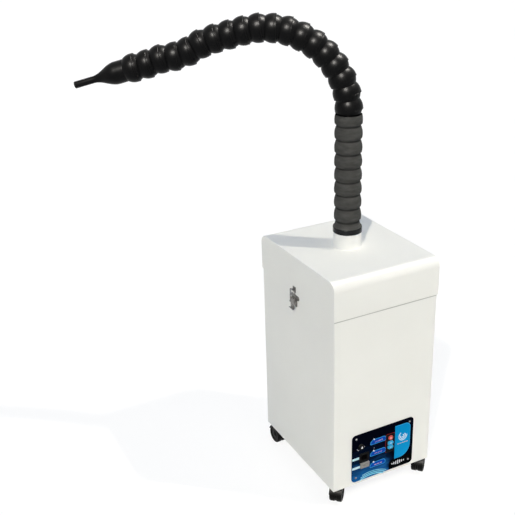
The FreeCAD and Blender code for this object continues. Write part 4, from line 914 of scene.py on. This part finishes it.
printFields()
printPills()
printStrips()
printArcs()
printSigns()
printKeys()
print("panel printed")


# Floor, light and camera
def seenRays(tree):  # 1 for what the camera sees, straight or in a reflection or through glass
    path = tree.nodes.new("ShaderNodeLightPath")
    seen = path.outputs["Is Camera Ray"]
    for ray in ("Is Glossy Ray", "Is Transmission Ray"):
        most = tree.nodes.new("ShaderNodeMath")
        most.operation = "MAXIMUM"
        tree.links.new(seen, most.inputs[0])
        tree.links.new(path.outputs[ray], most.inputs[1])
        seen = most.outputs["Value"]
    return seen


def pickShader(tree, unseen, seen, target):
    pick = tree.nodes.new("ShaderNodeMixShader")
    tree.links.new(seenRays(tree), pick.inputs["Fac"])
    tree.links.new(unseen, pick.inputs[1])
    tree.links.new(seen, pick.inputs[2])
    tree.links.new(pick.outputs["Shader"], target)


def makeFloor():
    ground = {"size": 40.0, "bounce": (0.77, 0.75, 0.7), "catch": (0.22, 0.22, 0.22),
              "glow": (0.83, 0.83, 0.83)}
    bm = bmesh.new()
    bmesh.ops.create_grid(bm, x_segments=1, y_segments=1, size=ground["size"] / 2)
    mesh = bpy.data.meshes.new("floor")
    bm.to_mesh(mesh)
    bm.free()
    floor = addObject("floor", mesh)
    finish = bpy.data.materials.new("floorWhite")
    finish.use_nodes = True
    tree = finish.node_tree
    tree.nodes.clear()
    shades = {}
    for name, kind in (("bounce", "ShaderNodeBsdfDiffuse"), ("catch", "ShaderNodeBsdfDiffuse"),
                       ("glow", "ShaderNodeEmission")):
        shades[name] = tree.nodes.new(kind)
        shades[name].inputs["Color"].default_value = ground[name] + (1,)
    both = tree.nodes.new("ShaderNodeAddShader")  # near white, and still darker in the shadow
    tree.links.new(shades["catch"].outputs[0], both.inputs[0])
    tree.links.new(shades["glow"].outputs[0], both.inputs[1])
    out = tree.nodes.new("ShaderNodeOutputMaterial")
    pickShader(tree, shades["bounce"].outputs[0], both.outputs[0], out.inputs["Surface"])
    mesh.materials.append(finish)


def makeSun(name, spot, power, look, forGloss):  # spot is compass and height, in degrees
    away = 4  # metres from the middle of the floor
    compass, height = (radians(angle) for angle in spot)
    toLight = Vector((cos(compass) * cos(height), sin(compass) * cos(height), sin(height)))
    lamp = bpy.data.lights.new(name, "SUN")
    lamp.energy = power
    lamp.angle = radians(look["disc"])
    lamp.color = look["tint"]
    sun = addObject(name, lamp)
    sun.location = toLight * away
    sun.rotation_euler = toLight.to_track_quat("Z", "Y").to_euler()
    sun.visible_glossy = forGloss
    sun.visible_diffuse = not forGloss


def makeLamps():
    # where each sun stands, its power, and where its highlight comes from
    suns = {"sunRight": ((-42, 50), 1.38, (-2, 62)), "sunLeft": ((-134, 42), 1.92, (-134, 41))}
    hard = {"disc": 0.7, "tint": (1.0, 0.935, 0.8)}
    gloss = {"disc": 22.0, "power": 12.0, "tint": (1.0, 0.96, 0.9)}  # wide, and only seen as highlights
    over = {"size": 2.4, "rise": 3.2, "power": 3.2}  # a soft box overhead
    for name, (spot, power, glossSpot) in suns.items():
        makeSun(name, spot, power, hard, False)
        makeSun(name + "Gloss", glossSpot, gloss["power"], gloss, True)
    box = bpy.data.lights.new("softBox", "AREA")
    box.size = over["size"]
    box.energy = over["power"]
    hung = addObject("softBox", box)
    hung.location = (0, 0, over["rise"])
    hung.visible_glossy = False


def makeWorld():
    sky = {"tint": (0.44, 0.63, 0.98), "power": 0.325}  # lights the shadows, while the camera sees white
    world = bpy.data.worlds.new("studio")
    bpy.context.scene.world = world
    world.use_nodes = True
    tree = world.node_tree
    light = tree.nodes["Background"]
    light.inputs["Color"].default_value = sky["tint"] + (1,)
    light.inputs["Strength"].default_value = sky["power"]
    white = tree.nodes.new("ShaderNodeBackground")
    white.inputs["Color"].default_value = (1, 1, 1, 1)
    pickShader(tree, light.outputs[0], white.outputs[0], tree.nodes["World Output"].inputs["Surface"])


def makeCamera():
    shot = {"at": (-1.112, -1.737, 1.531), "yaw": -26.18, "down": 23.81, "roll": -1.90, "lens": 60.54,
            "sensor": 36, "farthest": 100}
    yaw, down, roll = radians(shot["yaw"]), radians(shot["down"]), radians(shot["roll"])
    ahead = Vector((-sin(yaw) * cos(down), cos(yaw) * cos(down), -sin(down)))
    right = Vector((cos(yaw), sin(yaw), 0))
    up = right.cross(ahead)
    tiltRight = cos(roll) * right + sin(roll) * up
    tiltUp = -sin(roll) * right + cos(roll) * up
    lens = bpy.data.cameras.new("camera")
    lens.lens = shot["lens"]
    lens.sensor_width = shot["sensor"]
    lens.clip_end = shot["farthest"]
    camera = addObject("camera", lens)
    turn = Matrix((tiltRight, tiltUp, -ahead)).transposed().to_4x4()
    camera.matrix_world = Matrix.Translation(shot["at"]) @ turn
    bpy.context.scene.camera = camera


makeFloor()
makeLamps()
makeWorld()
makeCamera()
bpy.context.scene.view_settings.view_transform = "Standard"
print("studio and camera set")
